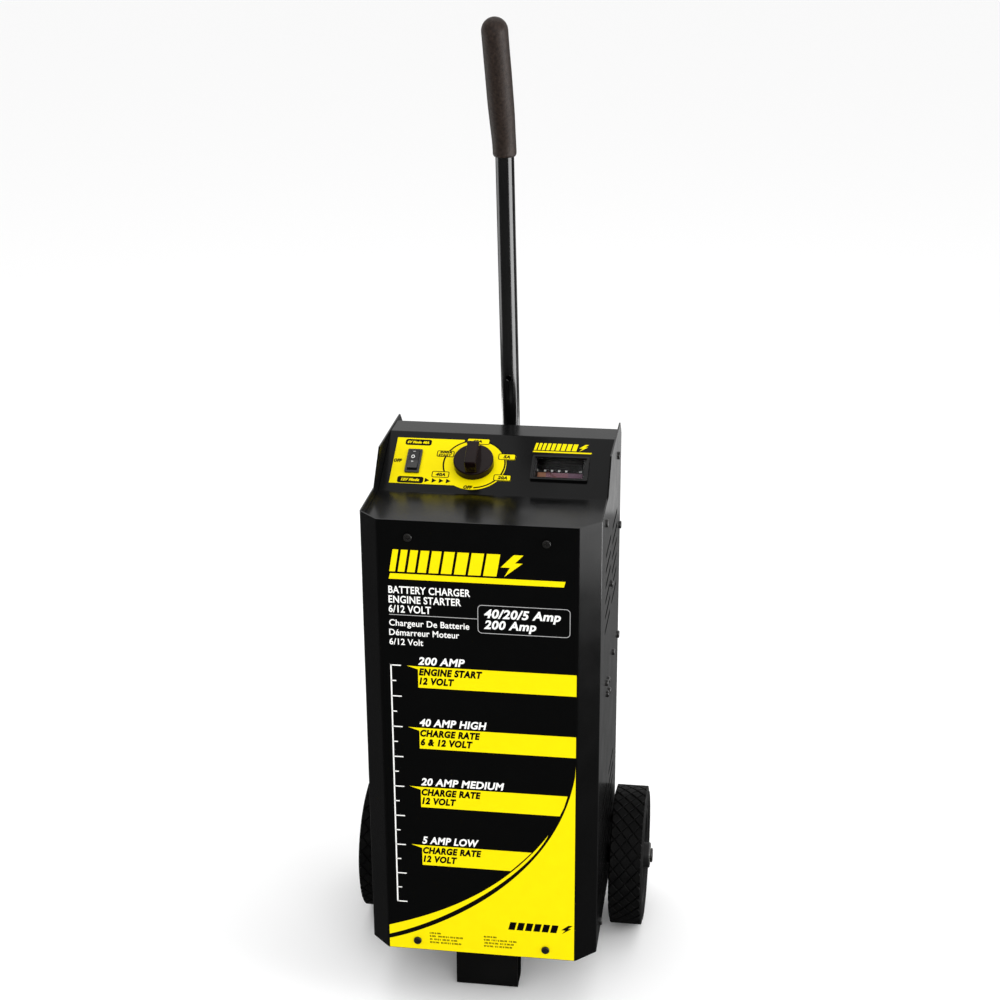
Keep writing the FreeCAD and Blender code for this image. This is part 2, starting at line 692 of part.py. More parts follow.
def clamp_screw():
    start = tube_across(CLAMP_HEIGHT) + TUBE_RADIUS + FIT_GAP
    return rod(CLAMP_SCREW_RADIUS, V(start, TUBE_DEPTH, CLAMP_HEIGHT), X_AXIS, CLAMP_SCREW_END - start)


def clamp_knob():
    """Five-lobed hand knob on the clamp screw."""
    middle = V(CLAMP_KNOB_START, TUBE_DEPTH, CLAMP_HEIGHT)
    length = 17.0
    body = rod(9.2, middle, X_AXIS, length)
    neck = rod(7.0, middle - V(1.9, 0, 0), X_AXIS, 4.0)
    lobe_ring = 7.4
    lobes = []
    for index in range(CLAMP_LOBES):
        angle = index * 2 * math.pi / CLAMP_LOBES
        centre = middle + V(3, lobe_ring * math.cos(angle), lobe_ring * math.sin(angle))
        lobes.append(rod(4.2, centre, X_AXIS, length - 3))
    return union([body, neck] + lobes).cut(clamp_screw())


# Controls on the inclined face ---------------------------------------------------------------

SELECTOR_AXIS = (SELECTOR_ACROSS, SELECTOR_UP)
SHAFT_RADIUS = 3.175
SHAFT_FIT = 0.05
SHAFT_START = -19.5
SHAFT_END = 13.5
BUSHING_RADIUS = 4.75
SWITCH_HALF = 19.0
SWITCH_BOTTOM = -34.0
SELECTOR_NUT_FLATS = 14.0
SELECTOR_NUT_HEIGHT = 2.4
TERMINAL_COUNT = 7
TERMINAL_RING = 13.0
TERMINAL_LENGTH = 10.0
KNOB_RADIUS = 20.3
KNOB_GAP = 0.9
KNOB_SKIRT = 8.6
KNOB_TOP = 24.5
KNOB_BAR_HALF = 5.9
KNOB_EDGE = 1.4


def selector_switch():
    """Rotary switch under the face, with its threaded bushing through the panel."""
    body = rounded_block(SWITCH_HALF, SWITCH_HALF, SWITCH_BOTTOM, -SHEET, 3.0, SELECTOR_AXIS)
    bushing = rod(BUSHING_RADIUS, V(*SELECTOR_AXIS, -SHEET - 1), Z_AXIS, SHEET + 5.0)
    room_start = SHAFT_START - 0.5
    shaft_room = rod(SHAFT_RADIUS + SHAFT_FIT, V(*SELECTOR_AXIS, room_start), Z_AXIS, -2 * room_start)
    return on_face(body.fuse(bushing).cut(shaft_room))


def selector_nut():
    place = V(*SELECTOR_AXIS, 0)
    return on_face(hexagon(SELECTOR_NUT_FLATS, place, Z_AXIS, SELECTOR_NUT_HEIGHT, BUSHING_RADIUS))


def selector_shaft():
    return on_face(rod(SHAFT_RADIUS, V(*SELECTOR_AXIS, SHAFT_START), Z_AXIS, SHAFT_END - SHAFT_START))


def selector_knob():
    """Round skirt with a tall finger bar across it, whose back end slopes down to the skirt."""
    skirt_top = KNOB_GAP + KNOB_SKIRT
    skirt = rod(KNOB_RADIUS, V(0, 0, KNOB_GAP), Z_AXIS, KNOB_SKIRT)
    skirt_rim = [edge for edge in skirt.Edges if edge.CenterOfMass.z > skirt_top - 0.1]
    skirt = skirt.makeFillet(KNOB_EDGE, skirt_rim)
    front = 2.0 - KNOB_RADIUS
    slope_start = 11.0
    back = KNOB_RADIUS - 2.4
    profile = [(front, KNOB_GAP + 4), (front, KNOB_TOP), (slope_start, KNOB_TOP), (back, skirt_top - 1),
               (back, KNOB_GAP + 4)]
    bar = plate(profile, in_yz(-KNOB_BAR_HALF), V(2 * KNOB_BAR_HALF, 0, 0))
    bar = bar.makeFillet(KNOB_EDGE, [edge for edge in bar.Edges if edge.BoundBox.ZMax > skirt_top])
    nut_room = rod(9.5, V(0, 0, KNOB_GAP), Z_AXIS, 3.6)
    shaft_room = rod(SHAFT_RADIUS, V(0, 0, 0), Z_AXIS, SHAFT_END)
    body = without(union([skirt, bar]), [nut_room, shaft_room])
    body.translate(V(*SELECTOR_AXIS, 0))
    return on_face(body)


def terminal_place(index):
    """Where a blade terminal sits on the inclined face, as (across, up)."""
    angle = index * 2 * math.pi / TERMINAL_COUNT
    return (SELECTOR_ACROSS + TERMINAL_RING * math.cos(angle), SELECTOR_UP + TERMINAL_RING * math.sin(angle))


def selector_terminals():
    """Blade terminals under the switch."""
    low = SWITCH_BOTTOM - TERMINAL_LENGTH
    blades = [on_face(box_at(*terminal_place(index), 3.1, 0.4, low, SWITCH_BOTTOM))
              for index in range(TERMINAL_COUNT)]
    return Part.makeCompound(blades)


ROCKER_PIVOT_DEPTH = -2.0
ROCKER_REACH = 12.6
ROCKER_HALF_WIDTH = 4.9
ROCKER_BODY = (6.2, 13.9)
ROCKER_RIM = (7.4, 15.2)
ROCKER_RIM_TOP = 2.3
ROCKER_BODY_BOTTOM = -20.0
ROCKER_PIN_RADIUS = 1.2
ROCKER_BLADE_LENGTH = 9.0


def rocker_housing():
    rim = rounded_block(*ROCKER_RIM, LABEL_SHEET, ROCKER_RIM_TOP, 1.2, (ROCKER_ACROSS, ROCKER_UP))
    body = box_at(ROCKER_ACROSS, ROCKER_UP, *ROCKER_BODY, ROCKER_BODY_BOTTOM, LABEL_SHEET + 0.2)
    half_width = ROCKER_HALF_WIDTH + 0.3
    half_length = ROCKER_REACH + 0.4
    opening = box_at(ROCKER_ACROSS, ROCKER_UP, half_width, half_length, ROCKER_BODY_BOTTOM + 3, OVERSHOOT)
    pivot_reach = ROCKER_HALF_WIDTH + 1.1
    pivot_start = V(ROCKER_ACROSS - pivot_reach, ROCKER_UP, ROCKER_PIVOT_DEPTH)
    pivot = rod(ROCKER_PIN_RADIUS + 0.05, pivot_start, X_AXIS, 2 * pivot_reach)
    return on_face(union([rim, body]).cut(opening).cut(pivot))


def rocker():
    """Three-position paddle: its ends are arcs about the pivot, and its top is a shallow V."""
    low = -8.0
    middle_rise = 2.6
    end_rise = 5.2
    far = 20.0
    disc = rod(ROCKER_REACH, V(-ROCKER_HALF_WIDTH, 0, ROCKER_PIVOT_DEPTH), X_AXIS, 2 * ROCKER_HALF_WIDTH)
    outline = [(-far, low), (far, low), (far, end_rise), (0, middle_rise), (-far, end_rise)]
    paddle = disc.common(plate(outline, in_yz(-ROCKER_HALF_WIDTH), V(2 * ROCKER_HALF_WIDTH, 0, 0)))
    pin_reach = ROCKER_HALF_WIDTH + 1.0
    pin = rod(ROCKER_PIN_RADIUS, V(-pin_reach, 0, ROCKER_PIVOT_DEPTH), X_AXIS, 2 * pin_reach)
    body = union([paddle, pin])
    body.translate(V(ROCKER_ACROSS, ROCKER_UP, 0))
    return on_face(body)


def rocker_terminals():
    low = ROCKER_BODY_BOTTOM - ROCKER_BLADE_LENGTH
    blades = [on_face(box_at(ROCKER_ACROSS, ROCKER_UP + up, 2.4, 0.4, low, ROCKER_BODY_BOTTOM))
              for up in (-8, 0, 8)]
    return Part.makeCompound(blades)


METER_HALF_X = 28.7
METER_HALF_Y = 15.6
WINDOW_HALF_X = 26.2
WINDOW_HALF_Y = 13.6
METER_RIM_TOP = 2.7
LENS_LEDGE = 1.4
LENS_HALF = (24.4, 13.1)
LENS_GAP = 0.05
CASE_HALF = (25.0, 14.0)
CASE_BOTTOM = -32.0
CASE_WALL = 1.6
DIAL_HALF = (23.3, 12.5)
DIAL_DEPTH = -6.5
DIAL_SHEET = 0.8
NEEDLE_REST = 48.0
NEEDLE_PIVOT_UP = METER_UP - 10.4
NEEDLE_PIN_RADIUS = 1.0
NEEDLE_PIN_BOTTOM = -15.0
NEEDLE_LENGTH = 17.0
STUD_ACROSS = 14.0
STUD_LENGTH = 10.0


def meter_bezel():
    rim = rounded_block(METER_HALF_X, METER_HALF_Y, 0, METER_RIM_TOP, 1.5, (METER_ACROSS, METER_UP))
    window = box_at(METER_ACROSS, METER_UP, WINDOW_HALF_X, WINDOW_HALF_Y, LENS_LEDGE, METER_RIM_TOP + 1)
    seat = box_at(METER_ACROSS, METER_UP, LENS_HALF[0] + 0.2, LENS_HALF[1] + 0.2, -1, LENS_LEDGE + 1)
    return on_face(rim.cut(window).cut(seat))


def meter_case():
    """Open-topped box behind the panel that holds the movement."""
    half_x, half_y = CASE_HALF
    case = box_at(METER_ACROSS, METER_UP, half_x, half_y, CASE_BOTTOM, 0)
    room = box_at(METER_ACROSS, METER_UP, half_x - CASE_WALL, half_y - CASE_WALL + 0.2, CASE_BOTTOM + 2, 1)
    return on_face(case.cut(room))


def meter_lens():
    return on_face(box_at(METER_ACROSS, METER_UP, *LENS_HALF, LENS_GAP, LENS_LEDGE - LENS_GAP))


def meter_dial():
    dial = box_at(METER_ACROSS, METER_UP, *DIAL_HALF, DIAL_DEPTH - DIAL_SHEET, DIAL_DEPTH)
    pivot_room = rod(NEEDLE_PIN_RADIUS + 0.6, V(METER_ACROSS, NEEDLE_PIVOT_UP, DIAL_DEPTH - 2), Z_AXIS, 4)
    return on_face(dial.cut(pivot_room))


def meter_movement():
    """Magnet block with the needle's pivot bore."""
    block = box_at(METER_ACROSS, METER_UP - 2.5, 15, 9.6, CASE_BOTTOM + 2.1, DIAL_DEPTH - DIAL_SHEET - 0.2)
    bore_start = V(METER_ACROSS, NEEDLE_PIVOT_UP, NEEDLE_PIN_BOTTOM - 1)
    bore = rod(NEEDLE_PIN_RADIUS + 0.05, bore_start, Z_AXIS, -NEEDLE_PIN_BOTTOM)
    return on_face(block.cut(bore))


def meter_needle():
    """Pointer and its pivot pin; at rest it leans to the left end of the scale."""
    pin = rod(NEEDLE_PIN_RADIUS, V(0, 0, NEEDLE_PIN_BOTTOM), Z_AXIS, DIAL_DEPTH + 1.6 - NEEDLE_PIN_BOTTOM)
    outline = [(-0.9, -1.6), (0.9, -1.6), (0.35, NEEDLE_LENGTH), (-0.35, NEEDLE_LENGTH)]
    pointer = plate(outline, in_xy(DIAL_DEPTH + 0.8), V(0, 0, 0.5))
    body = union([pin, pointer])
    body.rotate(V(0, 0, 0), Z_AXIS, NEEDLE_REST)
    body.translate(V(METER_ACROSS, NEEDLE_PIVOT_UP, 0))
    return on_face(body)


def meter_studs():
    start = CASE_BOTTOM - STUD_LENGTH
    studs = [on_face(rod(2.5, V(METER_ACROSS + side * STUD_ACROSS, METER_UP, start), Z_AXIS, STUD_LENGTH))
             for side in (-1, 1)]
    return Part.makeCompound(studs)


# Labels ------------------------------------------------------------------------------------

LABEL_MARGIN = 1.2
CONTROL_BLOCK = (-106.2, -37.0, 10.6, 71.0)
CONTROL_DISC_RADIUS = 32.6


def front_label():
    """Printed sheet that covers the front face."""
    half = FRONT_HALF_WIDTH - LABEL_MARGIN
    sheet = box(-half, half, -LABEL_SHEET, 0, CABINET_BOTTOM + LABEL_MARGIN / 2, FRONT_TOP - 1.0)
    return without(sheet, front_holes())


def control_label():
    """Printed sheet around the rocker and the selector: a block that runs into a disc."""
    block = box(*CONTROL_BLOCK, 0, LABEL_SHEET)
    disc = rod(CONTROL_DISC_RADIUS, V(*SELECTOR_AXIS, 0), Z_AXIS, LABEL_SHEET)
    nut_room = rod(8.6, V(*SELECTOR_AXIS, -1), Z_AXIS, 3)
    rocker_room = box_at(ROCKER_ACROSS, ROCKER_UP, *ROCKER_CUTOUT, -1, 3)
    return on_face(union([block, disc]).cut(nut_room).cut(rocker_room))


# Insides -----------------------------------------------------------------------------------

CORE_MIDDLE = 120.0
CORE_BOTTOM = 80.0
CORE_HALF_WIDTH = 60.0
CORE_HALF_DEPTH = 30.0
CORE_HEIGHT = 100.0
LEG_HALF = 20.0
OUTER_LEG = 18.0
YOKE = 20.0
CORE_BOLTS = [(side * 70.0, CORE_MIDDLE + step) for side in (-1, 1) for step in (-20, 20)]
CORE_BOLT_RADIUS = 2.5
CORE_BOLT_HOLE = 2.7
CORE_BOLT_FLATS = 8.0
CORE_BOLT_HEAD = 3.5
STRAP = 3.0
TUBE_OUTER = (21.5, 31.5)
PRIMARY_OUTER = (30.4, 40.4)
SECONDARY_INNER = (30.8, 40.8)
SECONDARY_OUTER = (40.5, 50.5)
CHEEK_OUTER = (41.0, 51.0)
CHEEK = 2.0
WINDING_GAP = CHEEK + 0.2


def transformer_core():
    low = CORE_MIDDLE - CORE_HALF_DEPTH
    high = CORE_MIDDLE + CORE_HALF_DEPTH
    core = box(-CORE_HALF_WIDTH, CORE_HALF_WIDTH, low, high, CORE_BOTTOM, CORE_BOTTOM + CORE_HEIGHT)
    window = box(LEG_HALF, CORE_HALF_WIDTH - OUTER_LEG, low - 1, high + 1, CORE_BOTTOM + YOKE,
                 CORE_BOTTOM + CORE_HEIGHT - YOKE)
    return without(core, [window, mirrored(window)])


def sleeve_block(inner, outer, low, high):
    """A rectangular ring about the core's middle leg; inner and outer are (half x, half y)."""
    solid = box(-outer[0], outer[0], CORE_MIDDLE - outer[1], CORE_MIDDLE + outer[1], low, high)
    room = box(-inner[0], inner[0], CORE_MIDDLE - inner[1], CORE_MIDDLE + inner[1], low - 1, high + 1)
    return solid.cut(room)


WINDOW_LOW = CORE_BOTTOM + YOKE + 0.5
WINDOW_HIGH = CORE_BOTTOM + CORE_HEIGHT - YOKE - 0.5


def bobbin():
    bore = (LEG_HALF, CORE_HALF_DEPTH)
    tube = sleeve_block(bore, TUBE_OUTER, WINDOW_LOW, WINDOW_HIGH)
    lower = sleeve_block(bore, CHEEK_OUTER, WINDOW_LOW, WINDOW_LOW + CHEEK)
    upper = sleeve_block(bore, CHEEK_OUTER, WINDOW_HIGH - CHEEK, WINDOW_HIGH)
    return union([tube, lower, upper])


def primary_winding():
    return sleeve_block(TUBE_OUTER, PRIMARY_OUTER, WINDOW_LOW + WINDING_GAP, WINDOW_HIGH - WINDING_GAP)


def secondary_winding():
    return sleeve_block(SECONDARY_INNER, SECONDARY_OUTER, WINDOW_LOW + WINDING_GAP, WINDOW_HIGH - WINDING_GAP)


def transformer_feet():
    """Two angle straps under and beside the core."""
    low = CABINET_BOTTOM + SHEET
    front = CORE_MIDDLE - CORE_HALF_DEPTH
    back = CORE_MIDDLE + CORE_HALF_DEPTH
    side = CORE_HALF_WIDTH
    under = side - 14
    flange = box(under, side + 18, front, back, low, low + STRAP)
    upright = box(side, side + STRAP, front, back, low, CORE_BOTTOM + 60)
    rest = box(under, side, front, back, low, CORE_BOTTOM)
    right = union([flange, upright, rest])
    right = without(right, upright_holes([bolt for bolt in CORE_BOLTS if bolt[0] > 0], CORE_BOLT_HOLE))
    return both_sides(right)


def core_bolts():
    top = CABINET_BOTTOM + SHEET + STRAP
    shank = 2 * STRAP + 3
    bolts = []
    for across, depth in CORE_BOLTS:
        head = hexagon(CORE_BOLT_FLATS, V(across, depth, top), Z_AXIS, CORE_BOLT_HEAD)
        bolts.append(head.fuse(rod(CORE_BOLT_RADIUS, V(across, depth, top - shank), Z_AXIS, shank)))
    return Part.makeCompound(bolts)


SINK_INNER = 84.0
SINK_BASE = 5.0
SINK_FRONT = 66.0
SINK_BACK = 150.0
SINK_BOTTOM = 292.0
SINK_TOP = 364.0
FIN_PLACES = (66, 74, 82, 98.5, 109, 119.5, 132, 140, 148)
FIN_HEIGHT = 14.0
FIN_SHEET = 2.0
DIODES = [(depth, height) for depth in (80.0, 136.0) for height in (308.0, 348.0)]
DIODE_RADIUS = 6.4
DIODE_DEPTH = 3.5
DIODE_CUP = 5.0
DIODE_LEAD = 16.0


def heat_sink():
    """Finned plate that carries the rectifier diodes, on the right side of the cabinet."""
    outer = SINK_INNER + SINK_BASE
    base = box(SINK_INNER, outer, SINK_FRONT, SINK_BACK, SINK_BOTTOM, SINK_TOP)
    fins = [box(outer - 1, outer + FIN_HEIGHT, depth, depth + FIN_SHEET, SINK_BOTTOM, SINK_TOP)
            for depth in FIN_PLACES]
    sockets = [rod(DIODE_RADIUS, V(SINK_INNER - 1, depth, height), X_AXIS, DIODE_DEPTH + 1)
               for depth, height in DIODES]
    posts = [rod(POST_HOLE_RADIUS, V(SINK_INNER - 1, depth, height), X_AXIS, 12)
             for depth, height in SINK_SCREWS]
    return without(union([base] + fins), sockets + posts)


def rectifier_diodes():
    diodes = []
    for depth, height in DIODES:
        cup = rod(DIODE_RADIUS, V(SINK_INNER - DIODE_CUP, depth, height), X_AXIS, DIODE_CUP + DIODE_DEPTH)
        lead_start = SINK_INNER - DIODE_CUP - DIODE_LEAD
        diodes.append(cup.fuse(rod(1.2, V(lead_start, depth, height), X_AXIS, DIODE_LEAD + 1)))
    return Part.makeCompound(diodes)


def sink_spacers():
    """Insulating posts between the heat sink's plate and the cabinet's side."""
    start = SINK_INNER + SINK_BASE
    length = CABINET_HALF_WIDTH - SHEET - start
    return Part.makeCompound([ring(3.6, POST_HOLE_RADIUS, V(start, depth, height), X_AXIS, length)
                              for depth, height in SINK_SCREWS])


def sink_screws():
    length = CABINET_HALF_WIDTH - SINK_INNER + 3
    return Part.makeCompound([screw(place, -X_AXIS, length, SCREW_RADIUS, SMALL_HEAD_RADIUS)
                              for place in side_places(SINK_SCREWS)])


def side_block(half_depth, half_height, thick, rivet):
    """A block inside the right side with a rivet's hole through it."""
    inner = CABINET_HALF_WIDTH - SHEET
    depth, height = rivet
    block = box(inner - thick, inner, depth - half_depth, depth + half_depth, height - half_height,
                height + half_height)
    return block.cut(rod(POST_HOLE_RADIUS, V(inner - thick - 4, depth, height), X_AXIS, thick + 8))


def circuit_breaker():
    return side_block(12.0, 14.0, 16.0, BREAKER_RIVETS[0])


def terminal_block():
    """Screw terminal strip."""
    return side_block(12.0, 15.0, 14.0, BREAKER_RIVETS[1])


def bracket_rivets():
    return Part.makeCompound([screw(place, -X_AXIS, 14.0, SCREW_RADIUS, SMALL_HEAD_RADIUS)
                              for place in side_places(BREAKER_RIVETS)])


def cable_gland(place, bore, hole):
    """Snap bushing in the back panel where a cable leaves."""
    across, height = place
    back = CABINET_DEPTH
    inside = 8.0
    lip = 3.5
    nose_length = 6.0
    body = rod(hole, V(across, back - inside, height), Y_AXIS, inside)
    flange = rod(hole + lip, V(across, back, height), Y_AXIS, lip)
    nose = Part.makeCone(hole + 0.5, hole - 1.5, nose_length, V(across, back + lip, height), Y_AXIS)
    cable_room = rod(bore, V(across, back - 2 * inside, height), Y_AXIS, 4 * inside)
    return union([body, flange, nose]).cut(cable_room)


def face_point(across, up, lift):
    """A point given on the inclined face, in the cabinet's frame."""
    angle = math.radians(FACE_INCLINE)
    return V(across, FACE_START + up * math.cos(angle) - lift * math.sin(angle),
             SHELF_HEIGHT + up * math.sin(angle) + lift * math.cos(angle))


def lead(points, radius):
    """An insulated wire: straight runs joined by tangent arcs as large as the runs allow."""
    share = 0.45
    edges = []
    last = points[0]
    for before, corner, after in zip(points, points[1:], points[2:]):
        arriving = (corner - before).normalize()
        leaving = (after - corner).normalize()
        half_turn = arriving.getAngle(leaving) / 2
        cut = share * min((corner - before).Length, (after - corner).Length)
        arc_radius = cut / math.tan(half_turn)
        inward = (leaving - arriving).normalize()
        arc_start = corner - arriving * cut
        arc_end = corner + leaving * cut
        arc_middle = corner + inward * (arc_radius / math.cos(half_turn) - arc_radius)
        edges.append(Part.LineSegment(last, arc_start).toShape())
        edges.append(Part.Arc(arc_start, arc_middle, arc_end).toShape())
        last = arc_end
    edges.append(Part.LineSegment(last, points[-1]).toShape())
    start_direction = (points[1] - points[0]).normalize()
    circle = Part.Wire(Part.Circle(points[0], start_direction, radius).toShape())
    return Part.Wire(edges).makePipeShell([circle], True, False)


def internal_leads():
    """Wires from the switches, the rectifier and the meter, ending on what they feed."""
    thin = 1.2
    medium = 1.5
    thick = 2.6
    landing_depth = CORE_MIDDLE + 40.0
    bend_height = 205.0
    leads = []
    for terminal, landing in ((3, -30.0), (5, -15.0), (1, 0.0), (0, 15.0)):
        across, up = terminal_place(terminal)
        end = SWITCH_BOTTOM - TERMINAL_LENGTH
        start = face_point(across, up, end)
        below = face_point(across, up, end - 22)
        leads.append(lead([start, below, V(across, below.y + 4, below.z - 50),
                           V(landing, landing_depth + 6, 250), V(landing, landing_depth, bend_height),
                           V(landing, landing_depth, WINDOW_HIGH)], medium))
    end = ROCKER_BODY_BOTTOM - ROCKER_BLADE_LENGTH
    start = face_point(ROCKER_ACROSS, ROCKER_UP, end)
    below = face_point(ROCKER_ACROSS, ROCKER_UP, end - 26)
    leads.append(lead([start, below, V(-84, 176, 400), V(-50, 172, 260), V(-38, landing_depth, bend_height),
                       V(-38, landing_depth, WINDOW_HIGH)], thin))
    coil_front = CORE_MIDDLE - SECONDARY_OUTER[1]
    diode_end = SINK_INNER - DIODE_CUP - DIODE_LEAD
    for across, (depth, height) in ((32.0, DIODES[0]), (16.0, DIODES[1])):
        leads.append(lead([V(across, coil_front, 130), V(across, 46, 130), V(across, 42, 170),
                           V(across + 6, 46, height - 60), V(diode_end - 24, depth, height),
                           V(diode_end, depth, height)], thick))
    block_top = BREAKER_RIVETS[1][1] + 15.0
    for side, landing in ((-1, 166.0), (1, 176.0)):
        across = METER_ACROSS + side * STUD_ACROSS
        end = CASE_BOTTOM - STUD_LENGTH
        start = face_point(across, METER_UP, end)
        below = face_point(across, METER_UP, end - 20)
        leads.append(lead([start, below, V(across + 12, landing, 440), V(108, landing, block_top + 45),
                           V(108, landing, block_top)], thin))
    return Part.makeCompound(leads)


# Fasteners ---------------------------------------------------------------------------------

def front_screws():
    return Part.makeCompound([screw(place, Y_AXIS) for place in front_places()])


def side_screws():
    return Part.makeCompound([screw(place, -X_AXIS) for place in side_places(SIDE_SCREWS)])


def back_screws():
    return Part.makeCompound([screw(V(across, CABINET_DEPTH, height), -Y_AXIS, SCREW_LENGTH - 1)
                              for across, height in BACK_SCREWS])


def guide_screws():
    flange_face = CABINET_DEPTH + GUIDE_FLANGE[2]
    return Part.makeCompound([screw(V(across, flange_face, height), -Y_AXIS, SCREW_LENGTH + 1)
                              for across, height in GUIDE_SCREWS])


# Write every piece -------------------------------------------------------------------------

PIECES = {
    "cabinet_shell": cabinet_shell(),
    "control_panel": control_panel(),
    "back_panel": back_panel(),
    "base_plate": base_plate(),
    "front_foot": front_foot(),
    "foot_bolts": foot_bolts(),
    "foot_nuts": foot_nuts(),
    "axle": axle(),
    "handle_tube": handle_tube(),
    "handle_grip": handle_grip(),
    "handle_guide_upper": handle_guide(UPPER_GUIDE_BOTTOM, True),
    "handle_guide_lower": handle_guide(LOWER_GUIDE_BOTTOM, False),
    "clamp_screw": clamp_screw(),
    "clamp_knob": clamp_knob(),
    "selector_switch": selector_switch(),
    "selector_terminals": selector_terminals(),
    "selector_nut": selector_nut(),
    "selector_shaft": selector_shaft(),
    "selector_knob": selector_knob(),
    "rocker_housing": rocker_housing(),
    "rocker": rocker(),
    "rocker_terminals": rocker_terminals(),
    "meter_bezel": meter_bezel(),
    "meter_case": meter_case(),
    "meter_lens": meter_lens(),
    "meter_dial": meter_dial(),
    "meter_movement": meter_movement(),
    "meter_needle": meter_needle(),
    "meter_studs": meter_studs(),
    "front_label": front_label(),
    "control_label": control_label(),
    "transformer_core": transformer_core(),
    "bobbin": bobbin(),
    "primary_winding": primary_winding(),
    "secondary_winding": secondary_winding(),
    "transformer_feet": transformer_feet(),
    "core_bolts": core_bolts(),
    "heat_sink": heat_sink(),
    "rectifier_diodes": rectifier_diodes(),
    "sink_spacers": sink_spacers(),
    "sink_screws": sink_screws(),
    "circuit_breaker": circuit_breaker(),
    "terminal_block": terminal_block(),
    "bracket_rivets": bracket_rivets(),
    "internal_leads": internal_leads(),
    "mains_gland": cable_gland(MAINS_GLAND, 4.5, MAINS_HOLE),
    "output_gland": cable_gland(OUTPUT_GLAND, 7.0, OUTPUT_HOLE),
    "front_screws": front_screws(),
    "back_screws": back_screws(),
    "guide_screws": guide_screws(),
    "side_screws": both_sides(side_screws()),
    "axle_caps": both_sides(axle_cap()),
    "axle_spacers": both_sides(axle_spacer()),
    "axle_brackets": both_sides(axle_bracket()),
}
for name, shape in {"tyre": tyre(), "rim": rim(), "hub_bush": hub_bush()}.items():
    PIECES[name + "_right"] = shape
    PIECES[name + "_left"] = mirrored(shape)

for name, shape in PIECES.items():
    save(name, shape)
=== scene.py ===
"""Looks of the wheeled battery charger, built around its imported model.

Blender works in metres, in the model's own frame. Sizes below are in millimetres unless a name says
otherwise, and MM turns them into metres.
"""
import bmesh
import bpy
import json
import math
from mathutils import Matrix, Vector, noise


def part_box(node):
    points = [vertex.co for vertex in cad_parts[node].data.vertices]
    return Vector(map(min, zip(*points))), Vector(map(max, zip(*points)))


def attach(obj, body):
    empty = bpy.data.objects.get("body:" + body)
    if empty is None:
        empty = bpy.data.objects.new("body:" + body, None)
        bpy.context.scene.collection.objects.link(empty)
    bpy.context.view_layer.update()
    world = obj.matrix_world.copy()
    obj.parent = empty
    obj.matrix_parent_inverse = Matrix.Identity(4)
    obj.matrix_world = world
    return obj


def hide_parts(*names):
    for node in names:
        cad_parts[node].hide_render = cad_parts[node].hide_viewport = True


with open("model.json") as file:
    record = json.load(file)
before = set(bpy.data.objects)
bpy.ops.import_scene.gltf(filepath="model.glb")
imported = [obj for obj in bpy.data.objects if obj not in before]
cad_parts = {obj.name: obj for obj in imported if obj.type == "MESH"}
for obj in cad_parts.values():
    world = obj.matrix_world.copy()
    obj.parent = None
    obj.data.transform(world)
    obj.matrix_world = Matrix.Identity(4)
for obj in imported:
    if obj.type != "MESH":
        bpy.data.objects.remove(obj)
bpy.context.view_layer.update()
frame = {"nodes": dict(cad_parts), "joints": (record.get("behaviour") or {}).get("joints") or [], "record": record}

MM = 0.001
X_AXIS = Vector((1, 0, 0))
Z_AXIS = Vector((0, 0, 1))
RECORD = frame["record"]
JOINTS = {joint["name"]: joint for joint in frame["joints"]}


# Places taken from the frame -----------------------------------------------------------------

class Surface:
    """A flat face of the object: a place on it is given across, up and off it, in millimetres."""

    def __init__(self, origin, across, up):
        self.origin = origin
        self.across = across
        self.up = up
        self.normal = across.cross(up)

    def place(self, across, up, lift=0.0):
        return self.origin + (self.across * across + self.up * up + self.normal * lift) * MM


LABEL_LOW, LABEL_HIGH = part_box("front_label")
LABEL_EDGE = LABEL_HIGH.x / MM
LABEL_BOTTOM = LABEL_LOW.z / MM
FRONT = Surface(Vector((0, LABEL_LOW.y, 0)), X_AXIS, Z_AXIS)

# On the control face, across is from the middle of the cabinet and up is from the slope's lower edge.
SELECTOR_ACROSS = -23.3
SELECTOR_UP = 38.5
ROCKER_ACROSS = -85.1
ROCKER_UP = 39.5
METER_ACROSS = 63.8
METER_DIAL_LIFT = -6.5
CONTROL_LABEL_TOP = 0.3
SELECTOR_POINT = Vector(JOINTS["selector_turn"]["pos_m"])
FACE_UP = Vector(JOINTS["selector_turn"]["axis"]).cross(X_AXIS).normalized()
CONTROL = Surface(SELECTOR_POINT - (X_AXIS * SELECTOR_ACROSS + FACE_UP * SELECTOR_UP) * MM, X_AXIS, FACE_UP)


# Camera, floor and light ---------------------------------------------------------------------

CAMERA_PLACE = (0.254106, -1.730503, 1.175990)
CAMERA_YAW = math.radians(8.228)
CAMERA_PITCH = math.radians(20.726)
CAMERA_ROLL = math.radians(-0.342)
CAMERA_SENSOR = 36
CAMERA_LENS = 66.446
CAMERA_SHIFT = (-0.00118, 0.00081)


